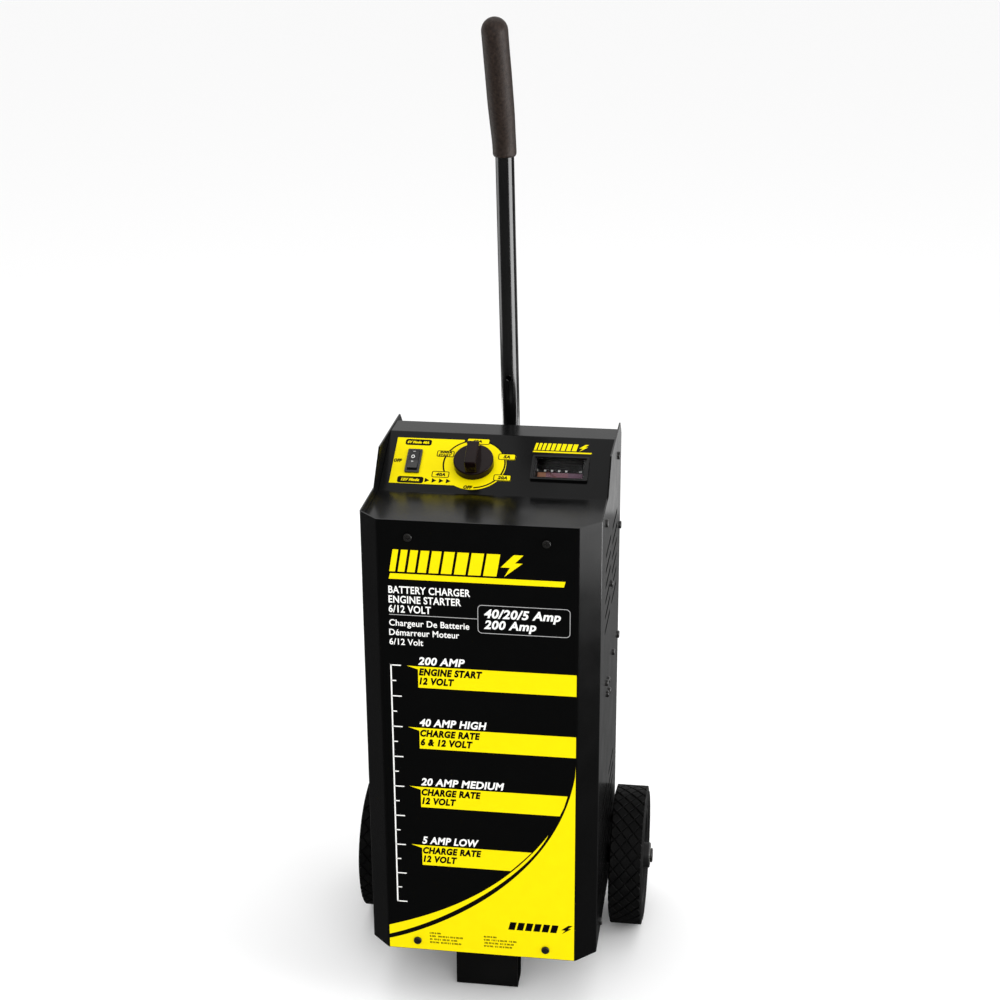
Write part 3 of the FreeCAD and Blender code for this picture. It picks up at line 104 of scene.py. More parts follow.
def make_camera():
    """A camera that looks down at the front from a little to its right."""
    level = math.cos(CAMERA_PITCH)
    forward = Vector((-math.sin(CAMERA_YAW) * level, math.cos(CAMERA_YAW) * level, -math.sin(CAMERA_PITCH)))
    level_right = Vector((math.cos(CAMERA_YAW), math.sin(CAMERA_YAW), 0))
    level_up = level_right.cross(forward)
    right = level_right * math.cos(CAMERA_ROLL) + level_up * math.sin(CAMERA_ROLL)
    up = level_up * math.cos(CAMERA_ROLL) - level_right * math.sin(CAMERA_ROLL)
    data = bpy.data.cameras.new("camera")
    data.sensor_width = CAMERA_SENSOR
    data.lens = CAMERA_LENS
    data.shift_x = CAMERA_SHIFT[0]
    data.shift_y = CAMERA_SHIFT[1]
    camera = bpy.data.objects.new("camera", data)
    bpy.context.scene.collection.objects.link(camera)
    turn = Matrix((right, up, -forward)).transposed().to_4x4()
    camera.matrix_world = Matrix.Translation(CAMERA_PLACE) @ turn
    bpy.context.scene.camera = camera


def softbox(name, place, target, width, height, radiance, diffuse=True, gloss=True):
    """A rectangular area light that faces its target; radiance is its brightness as seen.

    Without diffuse it only shows in reflections, and without gloss it never does.
    """
    data = bpy.data.lights.new(name, "AREA")
    data.shape = "RECTANGLE"
    data.size = width
    data.size_y = height
    data.energy = radiance * math.pi * width * height
    light = bpy.data.objects.new(name, data)
    light.location = place
    light.rotation_mode = "QUATERNION"
    light.rotation_quaternion = (Vector(target) - Vector(place)).to_track_quat("-Z", "Y")
    light.visible_camera = False
    light.visible_diffuse = diffuse
    light.visible_glossy = gloss
    bpy.context.scene.collection.objects.link(light)


def map_range(nodes, source, target):
    """A node that maps one range to another, each given as (low, high)."""
    node = nodes.new("ShaderNodeMapRange")
    node.inputs["From Min"].default_value = source[0]
    node.inputs["From Max"].default_value = source[1]
    node.inputs["To Min"].default_value = target[0]
    node.inputs["To Max"].default_value = target[1]
    return node


def make_world():
    """Pale even surroundings, which shiny surfaces mirror as a studio that is brighter behind the object."""
    world = bpy.data.worlds.new("studio")
    world.use_nodes = True
    bpy.context.scene.world = world
    nodes = world.node_tree.nodes
    links = world.node_tree.links
    place = nodes.new("ShaderNodeTexCoord")
    parts = nodes.new("ShaderNodeSeparateXYZ")
    rise = map_range(nodes, (0.0, 0.9), (0.84, 0.72))
    depth = map_range(nodes, (-0.6, 0.9), (0.42, 1.2))
    mirrored = nodes.new("ShaderNodeMath")
    mirrored.operation = "MULTIPLY"
    path = nodes.new("ShaderNodeLightPath")
    strength = nodes.new("ShaderNodeMix")
    strength.inputs["A"].default_value = 0.985
    links.new(place.outputs["Generated"], parts.inputs[0])
    links.new(parts.outputs["Z"], rise.inputs["Value"])
    links.new(parts.outputs["Y"], depth.inputs["Value"])
    links.new(rise.outputs[0], mirrored.inputs[0])
    links.new(depth.outputs[0], mirrored.inputs[1])
    links.new(path.outputs["Is Glossy Ray"], strength.inputs["Factor"])
    links.new(mirrored.outputs[0], strength.inputs["B"])
    links.new(strength.outputs["Result"], nodes["Background"].inputs["Strength"])
    nodes["Background"].inputs["Color"].default_value = (1, 1, 1, 1)


def make_floor():
    """A wide pale floor; shiny paint mirrors it as the dim floor of a studio beyond its lights."""
    half = 12.0
    mesh = bpy.data.meshes.new("floor")
    corners = [(-half, -half, 0), (half, -half, 0), (half, half, 0), (-half, half, 0)]
    mesh.from_pydata(corners, [], [(0, 1, 2, 3)])
    floor = bpy.data.objects.new("floor", mesh)
    bpy.context.scene.collection.objects.link(floor)
    material = bpy.data.materials.new("floor")
    material.use_nodes = True
    nodes = material.node_tree.nodes
    links = material.node_tree.links
    pale = nodes["Principled BSDF"]
    pale.inputs["Base Color"].default_value = (0.97, 0.97, 0.97, 1)
    pale.inputs["Roughness"].default_value = 0.95
    pale.inputs["Specular IOR Level"].default_value = 0.05
    dim = nodes.new("ShaderNodeBsdfDiffuse")
    dim.inputs["Color"].default_value = (0.13, 0.13, 0.13, 1)
    choice = nodes.new("ShaderNodeMixShader")
    path = nodes.new("ShaderNodeLightPath")
    links.new(path.outputs["Is Glossy Ray"], choice.inputs[0])
    links.new(pale.outputs[0], choice.inputs[1])
    links.new(dim.outputs[0], choice.inputs[2])
    links.new(choice.outputs[0], nodes["Material Output"].inputs["Surface"])
    mesh.materials.append(material)


def make_stage():
    """Two large soft lights, a side light, and cards that put sheen on the chamfer, sides, tube and back."""
    bpy.context.scene.view_settings.view_transform = "Standard"
    make_world()
    make_floor()
    middle = (0, 0, 0.4)
    softbox("key_light", (0.9, -2.7, 2.1), middle, 2.2, 1.6, 2.0)
    softbox("top_light", (0.0, 0.45, 2.6), middle, 2.0, 1.6, 1.0)
    softbox("right_light", (2.0, -0.5, 1.2), (0, 0, 0.7), 1.0, 1.2, 4.0, gloss=False)
    softbox("right_card", (1.25, -0.3, 0.5), (0.1, -0.3, 0.5), 1.1, 1.0, 7.0, diffuse=False)
    softbox("rear_card", (0.38, 1.0, 0.355), (0.38, 0, 0.355), 0.45, 0.47, 0.44, diffuse=False)
    softbox("left_card", (-0.6, 1.0, 0.42), (-0.6, 0, 0.42), 0.8, 0.75, 0.22, diffuse=False)
    softbox("side_card", (-1.3, 0.4, 0.55), (-0.1, 0.25, 0.55), 0.9, 0.6, 2.0, diffuse=False)
    for side in (-1, 1):
        softbox("back_card", (side * 0.75, 0.7, 0.14), (0, 0.0, 0.14), 0.6, 0.26, 5.0, diffuse=False)


# Materials -----------------------------------------------------------------------------------

NOISE_MIDDLE = (0.3, 0.7)


class Finish:
    """A principled material with procedural detail placed in the object's own space."""

    def __init__(self, name, roughness=0.5, ior=1.45, metallic=0.0, gloss=0.5):
        self.material = bpy.data.materials.new(name)
        self.material.use_nodes = True
        self.nodes = self.material.node_tree.nodes
        self.links = self.material.node_tree.links
        self.shader = self.nodes["Principled BSDF"]
        self.shader.inputs["Roughness"].default_value = roughness
        self.shader.inputs["IOR"].default_value = ior
        self.shader.inputs["Metallic"].default_value = metallic
        self.shader.inputs["Specular IOR Level"].default_value = gloss
        self.place = self.nodes.new("ShaderNodeTexCoord").outputs["Object"]

    def stretched(self, stretch):
        mapping = self.nodes.new("ShaderNodeMapping")
        mapping.inputs["Scale"].default_value = stretch
        self.links.new(self.place, mapping.inputs["Vector"])
        return mapping.outputs[0]

    def noise(self, grain_mm, detail=3.0, stretch=None):
        """Noise whose grains are about grain_mm across."""
        texture = self.nodes.new("ShaderNodeTexNoise")
        texture.inputs["Scale"].default_value = 1 / (grain_mm * MM)
        texture.inputs["Detail"].default_value = detail
        self.links.new(self.stretched(stretch) if stretch else self.place, texture.inputs["Vector"])
        return texture.outputs[0]

    def cells(self, grain_mm):
        texture = self.nodes.new("ShaderNodeTexVoronoi")
        texture.inputs["Scale"].default_value = 1 / (grain_mm * MM)
        self.links.new(self.place, texture.inputs["Vector"])
        return texture.outputs["Distance"]

    def stripes(self, direction, scale):
        texture = self.nodes.new("ShaderNodeTexWave")
        texture.bands_direction = direction
        texture.inputs["Scale"].default_value = scale
        self.links.new(self.place, texture.inputs["Vector"])
        return texture.outputs[1]

    def span(self, factor, low, high):
        """Stretch the middle of a noise to run from low to high."""
        node = map_range(self.nodes, NOISE_MIDDLE, (low, high))
        self.links.new(factor, node.inputs["Value"])
        return node.outputs[0]

    def colour(self, factor, dark, light):
        node = self.nodes.new("ShaderNodeMix")
        node.data_type = "RGBA"
        node.inputs["A"].default_value = (*dark, 1)
        node.inputs["B"].default_value = (*light, 1)
        self.links.new(self.span(factor, 0, 1), node.inputs["Factor"])
        self.links.new(node.outputs["Result"], self.shader.inputs["Base Color"])

    def roughness(self, factor, low, high):
        self.links.new(self.span(factor, low, high), self.shader.inputs["Roughness"])

    def bump(self, height, depth_mm, strength=1.0, under=None):
        node = self.nodes.new("ShaderNodeBump")
        node.inputs["Strength"].default_value = strength
        node.inputs["Distance"].default_value = depth_mm * MM
        self.links.new(height, node.inputs["Height"])
        if under:
            self.links.new(under, node.inputs["Normal"])
        self.links.new(node.outputs[0], self.shader.inputs["Normal"])
        return node.outputs[0]


def paint(name, dark, light, low, high, ior, peel):
    """Baked enamel: faint orange peel, and a sheen that varies a little over the sheet."""
    finish = Finish(name, ior=ior)
    finish.colour(finish.noise(60, 4), dark, light)
    finish.roughness(finish.noise(35, 5), low, high)
    under = finish.bump(finish.noise(2.4, 2), peel)
    finish.bump(finish.noise(45, 1), peel * 6, under=under)
    return finish


def cabinet_paint():
    return paint("cabinet_paint", (0.0013, 0.0014, 0.0014), (0.0021, 0.0021, 0.0022), 0.16, 0.24, 1.22, 0.004)


def foot_paint():
    return paint("foot_paint", (0.002, 0.002, 0.002), (0.0034, 0.0034, 0.0034), 0.4, 0.55, 1.25, 0.012)


def tube_paint():
    return paint("tube_paint", (0.0016, 0.0016, 0.0016), (0.003, 0.003, 0.003), 0.1, 0.2, 1.6, 0.003)


def printed(name, colour, roughness=0.4, gloss=0.12):
    """Printed vinyl: a flat ink with a faint film texture."""
    finish = Finish(name, gloss=gloss)
    finish.colour(finish.noise(12, 4), [c * 0.97 for c in colour], colour)
    finish.roughness(finish.noise(20, 3), roughness - 0.05, roughness + 0.08)
    finish.bump(finish.noise(1.2, 2), 0.003)
    return finish


def moulded(name, dark, light, low, high, ior=1.4, grain=0.8, depth=0.01):
    """Moulded plastic with a fine spark-eroded grain."""
    finish = Finish(name, ior=ior)
    finish.colour(finish.noise(25, 4), dark, light)
    finish.roughness(finish.noise(9, 4), low, high)
    finish.bump(finish.noise(grain, 3), depth)
    return finish


def metal(name, dark, light, low, high, stretch=None):
    """Bare or plated metal; stretch draws its grain out into brushed lines."""
    finish = Finish(name, metallic=1.0)
    finish.colour(finish.noise(7, 5, stretch), dark, light)
    finish.roughness(finish.noise(3, 5, stretch), low, high)
    finish.bump(finish.noise(0.9, 4, stretch), 0.004)
    return finish


def grip_foam():
    """Cellular vinyl: small pits, a mottled brown-grey and almost no shine."""
    finish = Finish("grip_foam", gloss=0.32)
    finish.colour(finish.noise(3.0, 6), (0.011, 0.0056, 0.0038), (0.031, 0.019, 0.0138))
    finish.roughness(finish.noise(2.0, 4), 0.42, 0.62)
    under = finish.bump(finish.noise(0.9, 4), 0.22)
    finish.bump(finish.cells(1.5), 0.12, 0.7, under)
    return finish


def tyre_rubber():
    finish = Finish("tyre_rubber", gloss=0.08)
    finish.colour(finish.noise(9, 5), (0.0022, 0.0022, 0.0022), (0.0040, 0.0040, 0.0039))
    finish.roughness(finish.noise(5, 4), 0.5, 0.75)
    finish.bump(finish.noise(0.8, 4), 0.03)
    return finish


def glass():
    finish = Finish("meter_window", ior=1.12)
    finish.colour(finish.noise(20, 2), (0.93, 0.94, 0.95), (0.97, 0.98, 0.98))
    finish.roughness(finish.noise(12, 3), 0.01, 0.04)
    finish.shader.inputs["Transmission Weight"].default_value = 1.0
    return finish


def laminations():
    """Varnished steel sheets on edge: a fine stripe through the stack's depth."""
    finish = metal("core_steel", (0.10, 0.09, 0.08), (0.26, 0.25, 0.24), 0.35, 0.6)
    finish.bump(finish.stripes("Y", 330), 0.15, 0.6)
    return finish


def winding():
    """Enamelled wire: turns stacked in height."""
    finish = metal("winding_wire", (0.36, 0.12, 0.05), (0.62, 0.24, 0.10), 0.25, 0.45)
    finish.bump(finish.stripes("Z", 160), 0.4, 0.8)
    return finish


YELLOW = (0.86, 0.71, 0.0003)
WHITE = (0.9, 0.9, 0.88)
INK = (0.0018, 0.0019, 0.0019)

FINISHES = {
    "cabinet_paint": cabinet_paint(),
    "foot_paint": foot_paint(),
    "tube_paint": tube_paint(),
    "grip_foam": grip_foam(),
    "tyre_rubber": tyre_rubber(),
    "wheel_plastic": moulded("wheel_plastic", (0.005, 0.005, 0.005), (0.009, 0.009, 0.009), 0.4, 0.6),
    "guide_plastic": moulded("guide_plastic", (0.008, 0.008, 0.008), (0.014, 0.014, 0.014), 0.4, 0.6),
    "bush_nylon": moulded("bush_nylon", (0.62, 0.6, 0.53), (0.74, 0.72, 0.66), 0.4, 0.55),
    "zinc_steel": metal("zinc_steel", (0.42, 0.42, 0.40), (0.62, 0.62, 0.60), 0.25, 0.45),
    "black_fasteners": moulded("black_fasteners", (0.004, 0.0035, 0.0035), (0.012, 0.011, 0.010), 0.2, 0.4,
                               1.5),
    "knob_plastic": moulded("knob_plastic", (0.006, 0.0025, 0.0025), (0.010, 0.005, 0.005), 0.07, 0.14,
                            1.22, 1.5, 0.002),
    "rocker_plastic": moulded("rocker_plastic", (0.005, 0.005, 0.005), (0.009, 0.009, 0.009), 0.2, 0.35,
                              1.45),
    "meter_plastic": moulded("meter_plastic", (0.002, 0.002, 0.002), (0.003, 0.003, 0.003), 0.25, 0.4, 1.3),
    "meter_window": glass(),
    "dial_print": printed("dial_print", (0.006, 0.006, 0.006), 0.6),
    "needle_metal": moulded("needle_metal", (0.10, 0.02, 0.015), (0.14, 0.03, 0.02), 0.35, 0.5),
    "front_print": printed("front_print", INK, gloss=0.06),
    "control_print": printed("control_print", YELLOW, 0.45, 0.05),
    "terminal_metal": metal("terminal_metal", (0.5, 0.4, 0.2), (0.72, 0.6, 0.34), 0.2, 0.4),
    "core_steel": laminations(),
    "bobbin_plastic": moulded("bobbin_plastic", (0.42, 0.37, 0.27), (0.55, 0.5, 0.4), 0.45, 0.6),
    "winding_wire": winding(),
    "sink_aluminium": metal("sink_aluminium", (0.62, 0.62, 0.63), (0.78, 0.78, 0.79), 0.25, 0.4,
                            (1, 1, 0.06)),
    "insulator": moulded("insulator", (0.02, 0.019, 0.018), (0.035, 0.033, 0.03), 0.45, 0.6),
    "lead_insulation": moulded("lead_insulation", (0.30, 0.012, 0.01), (0.42, 0.02, 0.016), 0.35, 0.5),
}
YELLOW_INK = printed("yellow_ink", YELLOW, 0.45, 0.05)
WHITE_INK = printed("white_ink", WHITE, 0.45)
BLACK_INK = printed("black_ink", INK, gloss=0.06)
# The orange, pink and mauve meter inks are their print colours darkened as painted shade, for the recessed dial
# lying in shadow.
ORANGE_INK_PAINTED_SHADE = printed("orange_ink_painted_shade", (0.37, 0.17, 0.10), 0.6)
PINK_INK_PAINTED_SHADE = printed("pink_ink_painted_shade", (0.26, 0.12, 0.15), 0.6)
GREY_INK = printed("grey_ink", (0.5, 0.5, 0.5), 0.6)
MAUVE_INK_PAINTED_SHADE = printed("mauve_ink_painted_shade", (0.19, 0.105, 0.15), 0.6)


def dress_nodes():
    """Give every model node the finish of its material slot."""
    for subpart in RECORD["subparts"]:
        node = frame["nodes"][subpart["node"]]
        material = FINISHES[subpart["material_slot"]].material
        if not node.material_slots:
            node.data.materials.append(material)
        for material_slot in node.material_slots:
            material_slot.material = material


# Mesh building -------------------------------------------------------------------------------

def finish_piece(name, shape, finish, body, smooth=False):
    """Turn a bmesh into a named piece that rides on a body."""
    bmesh.ops.recalc_face_normals(shape, faces=shape.faces)
    mesh = bpy.data.meshes.new(name)
    shape.to_mesh(mesh)
    shape.free()
    for polygon in mesh.polygons:
        polygon.use_smooth = smooth
    mesh.materials.append(finish.material)
    piece = bpy.data.objects.new(name, mesh)
    bpy.context.scene.collection.objects.link(piece)
    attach(piece, body)
    return piece


def add_prism(shape, outline, surface, low, high):
    """A closed solid over an outline on a surface."""
    bottom = [shape.verts.new(surface.place(u, v, low)) for u, v in outline]
    top = [shape.verts.new(surface.place(u, v, high)) for u, v in outline]
    shape.faces.new(top)
    shape.faces.new(bottom[::-1])
    for index in range(len(outline)):
        after = (index + 1) % len(outline)
        shape.faces.new((bottom[index], bottom[after], top[after], top[index]))


def add_ring(shape, outer, inner, surface, low, high):
    """A closed solid between two outlines that have the same number of points."""
    loops = []
    for outline in (outer, inner):
        for lift in (low, high):
            loops.append([shape.verts.new(surface.place(u, v, lift)) for u, v in outline])
    outer_low, outer_high, inner_low, inner_high = loops
    for index in range(len(outer)):
        after = (index + 1) % len(outer)
        shape.faces.new((outer_high[index], outer_high[after], inner_high[after], inner_high[index]))
        shape.faces.new((outer_low[index], inner_low[index], inner_low[after], outer_low[after]))
        shape.faces.new((outer_low[index], outer_low[after], outer_high[after], outer_high[index]))
        shape.faces.new((inner_low[index], inner_high[index], inner_high[after], inner_low[after]))


def box_outline(low_u, high_u, low_v, high_v, slant=0.0):
    """A rectangle, or a parallelogram whose top leans right by slant times its height."""
    lean = slant * (high_v - low_v)
    return [(low_u, low_v), (high_u, low_v), (high_u + lean, high_v), (low_u + lean, high_v)]


def arc(centre, radius, start, end, steps):
    """Points on an arc; angles are in degrees from the right, anticlockwise."""
    angles = [math.radians(start + (end - start) * step / steps) for step in range(steps + 1)]
    return [(centre[0] + radius * math.cos(a), centre[1] + radius * math.sin(a)) for a in angles]


def circle(centre, radius, steps=72):
    return arc(centre, radius, 0, 360, steps)[:-1]


def rounded_outline(low_u, high_u, low_v, high_v, radius, steps=6):
    points = []
    corners = ((high_u - radius, low_v + radius), (high_u - radius, high_v - radius),
               (low_u + radius, high_v - radius), (low_u + radius, low_v + radius))
    for index, centre in enumerate(corners):
        points += arc(centre, radius, -90 + index * 90, index * 90, steps)
    return points


def bezier(points, steps=40):
    """Points along a cubic curve, from its four control points."""
    curve = []
    for step in range(steps + 1):
        t = step / steps
        weights = ((1 - t) ** 3, 3 * (1 - t) ** 2 * t, 3 * (1 - t) * t * t, t ** 3)
        curve.append(tuple(sum(w * p[axis] for w, p in zip(weights, points)) for axis in (0, 1)))
    return curve


# Printed layers, as heights off the surface: each starts inside what it is printed on.
INK_LOW = -0.03
INK_HIGH = 0.06
OVERPRINT_LOW = 0.03
OVERPRINT_LETTER_LOW = 0.05
OVERPRINT_HIGH = 0.1


def print_piece(name, outlines, surface, finish, low=INK_LOW, high=INK_HIGH, rings=(), body="cabinet"):
    """A thin printed layer made of closed outlines, and of rings given as outer and inner outlines."""
    shape = bmesh.new()
    for outline in outlines:
        add_prism(shape, outline, surface, low, high)
    for outer, inner in rings:
        add_ring(shape, outer, inner, surface, low, high)
    return finish_piece(name, shape, finish, body)


def text_mesh(words, slant, weight):
    """A line of text as a mesh in the font's own units, half a unit thick each way."""
    curve = bpy.data.curves.new("lettering", "FONT")
    curve.body = words
    curve.shear = slant
    curve.offset = weight
    curve.space_character = 1 + 2 * weight
    curve.extrude = 0.5
    curve.resolution_u = 4
    source = bpy.data.objects.new("lettering", curve)
    bpy.context.scene.collection.objects.link(source)
    bpy.context.view_layer.update()
    mesh = bpy.data.meshes.new_from_object(source.evaluated_get(bpy.context.evaluated_depsgraph_get()))
    bpy.data.objects.remove(source)
    bpy.data.curves.remove(curve)
    return mesh


def extent(mesh, axis):
    values = [vert.co[axis] for vert in mesh.vertices]
    return min(values), max(values)


def add_text(shape, line, surface, low, high):
    """Lettering of a given capital height, squeezed to its width."""
    words, left, base, height, width, slant, weight = line
    capital = text_mesh("E", slant, weight)
    mesh = text_mesh(words, slant, weight)
    foot, top = extent(capital, 1)
    start, end = extent(mesh, 0)
    scale_v = height / (top - foot)
    scale_u = width / (end - start)
    for vert in mesh.vertices:
        across = left + (vert.co.x - start) * scale_u
        up = base + (vert.co.y - foot) * scale_v
        lift = low + (vert.co.z + 0.5) * (high - low)
        vert.co = surface.place(across, up, lift)
    shape.from_mesh(mesh)
    bpy.data.meshes.remove(mesh)
    bpy.data.meshes.remove(capital)


def lettering(name, lines, surface, finish, low=INK_LOW, high=INK_HIGH):
    """One printed piece from several lines, each (words, left, base, height, width, slant, weight)."""
    shape = bmesh.new()
    for line in lines:
        add_text(shape, line, surface, low, high)
    bmesh.ops.remove_doubles(shape, verts=shape.verts, dist=1e-7)
    return finish_piece(name, shape, finish, "cabinet")


MARK_SHAPES = (("left", "right", "top"), ("left", "bottom", "middle"), ("left", "right", "middle"),
               ("right", "top", "bottom"), ("left", "right", "bottom"), ("left", "middle", "top"))


def word_marks(left, base, height, words, letter):
    """Stand-in for small print: words of plain barred marks that spell nothing."""
    wide = letter * 0.8
    upright = wide * 0.4
    level = height * 0.248
    bars = {"left": (0, upright, 0, height),
            "right": (wide - upright, wide, 0, height),
            "top": (upright, wide - upright, height - level, height),
            "middle": (upright, wide - upright, (height - level) / 2, (height + level) / 2),
            "bottom": (upright, wide - upright, 0, level)}
    outlines = []
    u = left
    for number, word in enumerate(words):
        for index in range(word):
            for bar in MARK_SHAPES[(index * 5 + number * 2 + word) % len(MARK_SHAPES)]:
                low_u, high_u, low_v, high_v = bars[bar]
                outlines.append(box_outline(u + low_u, u + high_u, base + low_v, base + high_v))
            u += letter
        u += letter * 0.6
    return outlines


# Print on the front --------------------------------------------------------------------------

BAND_LEFT = -59.5
BAND_TOPS = (389.7, 322.7, 256.5, 189.6)
BAND_HEIGHT = 22.9
FIELD_CURVE = ((-95.8, 76.5), (-90.5, 76.4), (80.5, 134.7), (96.8, 290.0))
STRIP_TOP = ((-95.8, 92.3), (-45.8, 109.1), (21.4, 138.1), (68.7, 210.6))
STRIP_BOTTOM = ((-95.8, 81.4), (-25.5, 104.9), (49.1, 166.2), (68.8, 210.5))
FIELD_DROP = 0.02

# Letter weights, as how far a stroke is thickened, and the lean of the italic lines.
PLAIN = 0.012
SEMI = 0.02
BOLD = 0.032
HEAVY = 0.06
LEAN = 0.2


def within_label(points):
    return [(max(-LABEL_EDGE, min(LABEL_EDGE, u)), v) for u, v in points]


def band_outline(index):
    """One yellow band; the two lowest end along the sweeping curve, a little short of it."""
    top = BAND_TOPS[index]
    bottom = top - BAND_HEIGHT
    right = [(LABEL_EDGE, bottom), (LABEL_EDGE, top)]
    if index == 2:
        right = [(80.2, bottom), (84.5, 243.8), (88.0, top)]
    if index == 3:
        right = [(30.9, bottom), (43.6, 180.0), (52.1, top)]
    return [(BAND_LEFT, bottom)] + right + [(-61.5, top), (-70.6, top + 0.3), (BAND_LEFT, top - 3.2)]


def charge_bars(left, low, high, first, growth, gap, slant):
    """Nine leaning bars, each wider than the last by growth, and where a tenth would start."""
    outlines = []
    u = left
    for index in range(9):
        wide = first + index * growth
        outlines.append(box_outline(u, u + wide, low, high, slant))
        u += wide + gap
    return outlines, u


def title_outlines():
    """A row of leaning charge bars that fill up towards a lightning bolt, over a long underline."""
    low = 489.0
    high = 511.8
    outlines, end = charge_bars(-85.2, low, high, 5.6, 0.9, 2.6, 0.17)
    bolt = end + 1.5
    outlines.append([(bolt, 498.6), (bolt + 12.6, high), (bolt + 21.8, high), (bolt + 13.8, 503.4),
                     (bolt + 21.0, 503.4), (bolt + 3.4, low), (bolt + 8.9, 498.6)])
    outlines.append(box_outline(-86.0, 82.9, 481.2, 487.0, 0.27))
    return outlines


def small_bolt(left, base, height, slant=0.0):
    points = [(0.0, 0.43), (0.55, 1.0), (0.95, 1.0), (0.6, 0.63), (0.92, 0.63), (0.15, 0.0), (0.39, 0.43)]
    return [(left + height * (x + slant * y), base + height * y) for x, y in points]


def scale_outlines():
    """The ruled scale: one long line, nine long ticks and eight short ones between them."""
    low = 121.8
    high = 389.8
    left = -86.9
    half = 0.575
    steps = 16
    outlines = [box_outline(left, left + 1.35, low - half, high + half)]
    for index in range(steps + 1):
        middle = high - index * (high - low) / steps
        right = -81.4 if index % 2 else -76.3
        outlines.append(box_outline(left + 0.5, right, middle - half, middle + half))
    return outlines


def white_lines():
    """The headings, the ratings, and the name of each rate above its band."""
    lines = [("BATTERY CHARGER", -86.6, 466.3, 7.6, 79.6, 0.0, SEMI),
             ("ENGINE STARTER", -86.7, 456.2, 7.6, 70.7, 0.0, SEMI),
             ("6/12 VOLT", -86.8, 446.2, 7.6, 41.3, 0.0, SEMI),
             ("Chargeur De Batterie", -86.7, 432.0, 6.6, 78.4, 0.0, PLAIN),
             ("Démarreur Moteur", -86.9, 421.9, 6.6, 68.7, 0.0, PLAIN),
             ("6/12 Volt", -87.0, 411.9, 6.6, 33.3, 0.0, PLAIN),
             ("40/20/5 Amp", 6.2, 445.2, 9.4, 74.0, LEAN, BOLD),
             ("200 Amp", 6.0, 433.7, 9.2, 50.6, LEAN, BOLD)]
    rates = (("200 AMP", 46.0), ("40 AMP HIGH", 66.9), ("20 AMP MEDIUM", 83.9), ("5 AMP LOW", 57.8))
    for (words, width), top in zip(rates, BAND_TOPS):
        lines.append((words, -59.2, top + 1.9, 8.3, width, LEAN, BOLD))
    return lines


def band_lines():
    """What each band is for, and its volts."""
    bands = (("ENGINE START", 62.8, "12 VOLT", 34.8), ("CHARGE RATE", 60.0, "6 & 12 VOLT", 52.3),
             ("CHARGE RATE", 60.0, "12 VOLT", 34.8), ("CHARGE RATE", 60.0, "12 VOLT", 34.8))
    lines = []
    for (use, use_width, volts, volts_width), top in zip(bands, BAND_TOPS):
        lines.append((use, -58.8, top - 9.6, 7.8, use_width, LEAN, HEAVY))
        lines.append((volts, -58.5, top - 19.5, 7.8, volts_width, LEAN, HEAVY))
    return lines


def small_print():
    """Two small blocks of plain marks near the bottom edge."""
    outlines = []
    for left, top, rows in ((-53.6, 85.0, ((7,), (4, 7, 8), (2, 4, 5, 4), (6, 6, 6))),
                            (2.8, 85.5, ((8,), (4, 3, 6, 5), (9, 2, 6), (6, 2, 8)))):
        for index, words in enumerate(rows):
            outlines += word_marks(left, top - index * 3.7, 2.0, words, 1.75)
    return outlines


def emblem_outlines():
    """A plain row of leaning bars and a bolt, in the corner of the yellow field."""
    slant = 0.25
    pitch = 8.6
    outlines = []
    for index in range(6):
        left = 28.0 + index * pitch
        outlines.append(box_outline(left, left + 6.6, 97.2, 106.4, slant))
    outlines.append(small_bolt(81.5, 96.6, 10.6, slant))
    return outlines


def front_print():
    print_piece("title_bars", title_outlines(), FRONT, YELLOW_INK)
    bands = [band_outline(index) for index in range(len(BAND_TOPS))]
    print_piece("rate_bands", bands, FRONT, YELLOW_INK)
    field = within_label(bezier(FIELD_CURVE)) + [(LABEL_EDGE, LABEL_BOTTOM), (-LABEL_EDGE, LABEL_BOTTOM)]
    print_piece("corner_field", [field], FRONT, YELLOW_INK, high=INK_HIGH - FIELD_DROP)
    strip = within_label(bezier(STRIP_TOP) + bezier(STRIP_BOTTOM)[::-1])
    print_piece("corner_strip", [strip], FRONT, YELLOW_INK)
    print_piece("ruled_scale", scale_outlines(), FRONT, WHITE_INK)
    rule = box_outline(-86.6, 0.2, 443.5, 444.0)
    outer = rounded_outline(-0.1, 89.3, 428.9, 458.6, 4.2)
    inner = rounded_outline(0.4, 88.8, 429.4, 458.1, 3.7)
    print_piece("rating_frame", [rule], FRONT, GREY_INK, rings=[(outer, inner)])
    lettering("white_numbers", white_lines(), FRONT, WHITE_INK)
    lettering("band_numbers", band_lines(), FRONT, BLACK_INK, OVERPRINT_LETTER_LOW, OVERPRINT_HIGH)
    print_piece("band_marks", small_print(), FRONT, BLACK_INK, OVERPRINT_LOW, OVERPRINT_HIGH)
    print_piece("corner_emblem", emblem_outlines(), FRONT, BLACK_INK, OVERPRINT_LOW, OVERPRINT_HIGH)


# Print and small pieces on the control face --------------------------------------------------

RATE_PLATES = ((-54.0, 51.3), (-55.5, 23.9), (8.9, 50.6), (7.3, 22.9))
RATE_PLATE_HALF = (8.9, 4.1)
CONTROL_WEIGHT = 0.065


def dial_ring():
    """A black line round the knob, open at its lower left."""
    centre = (SELECTOR_ACROSS, 39.6)
    start = -84
    end = 218
    steps = 96
    return arc(centre, 32.0, start, end, steps) + arc(centre, 30.4, end, start, steps)


def plate_frame(low_u, high_u, low_v, high_v):
    """The outer and inner outlines of the thin frame round a plate."""
    edge = 0.85
    outer = rounded_outline(low_u, high_u, low_v, high_v, 1.8)
    inner = rounded_outline(low_u + edge, high_u - edge, low_v + edge, high_v - edge, 1.1)
    return outer, inner


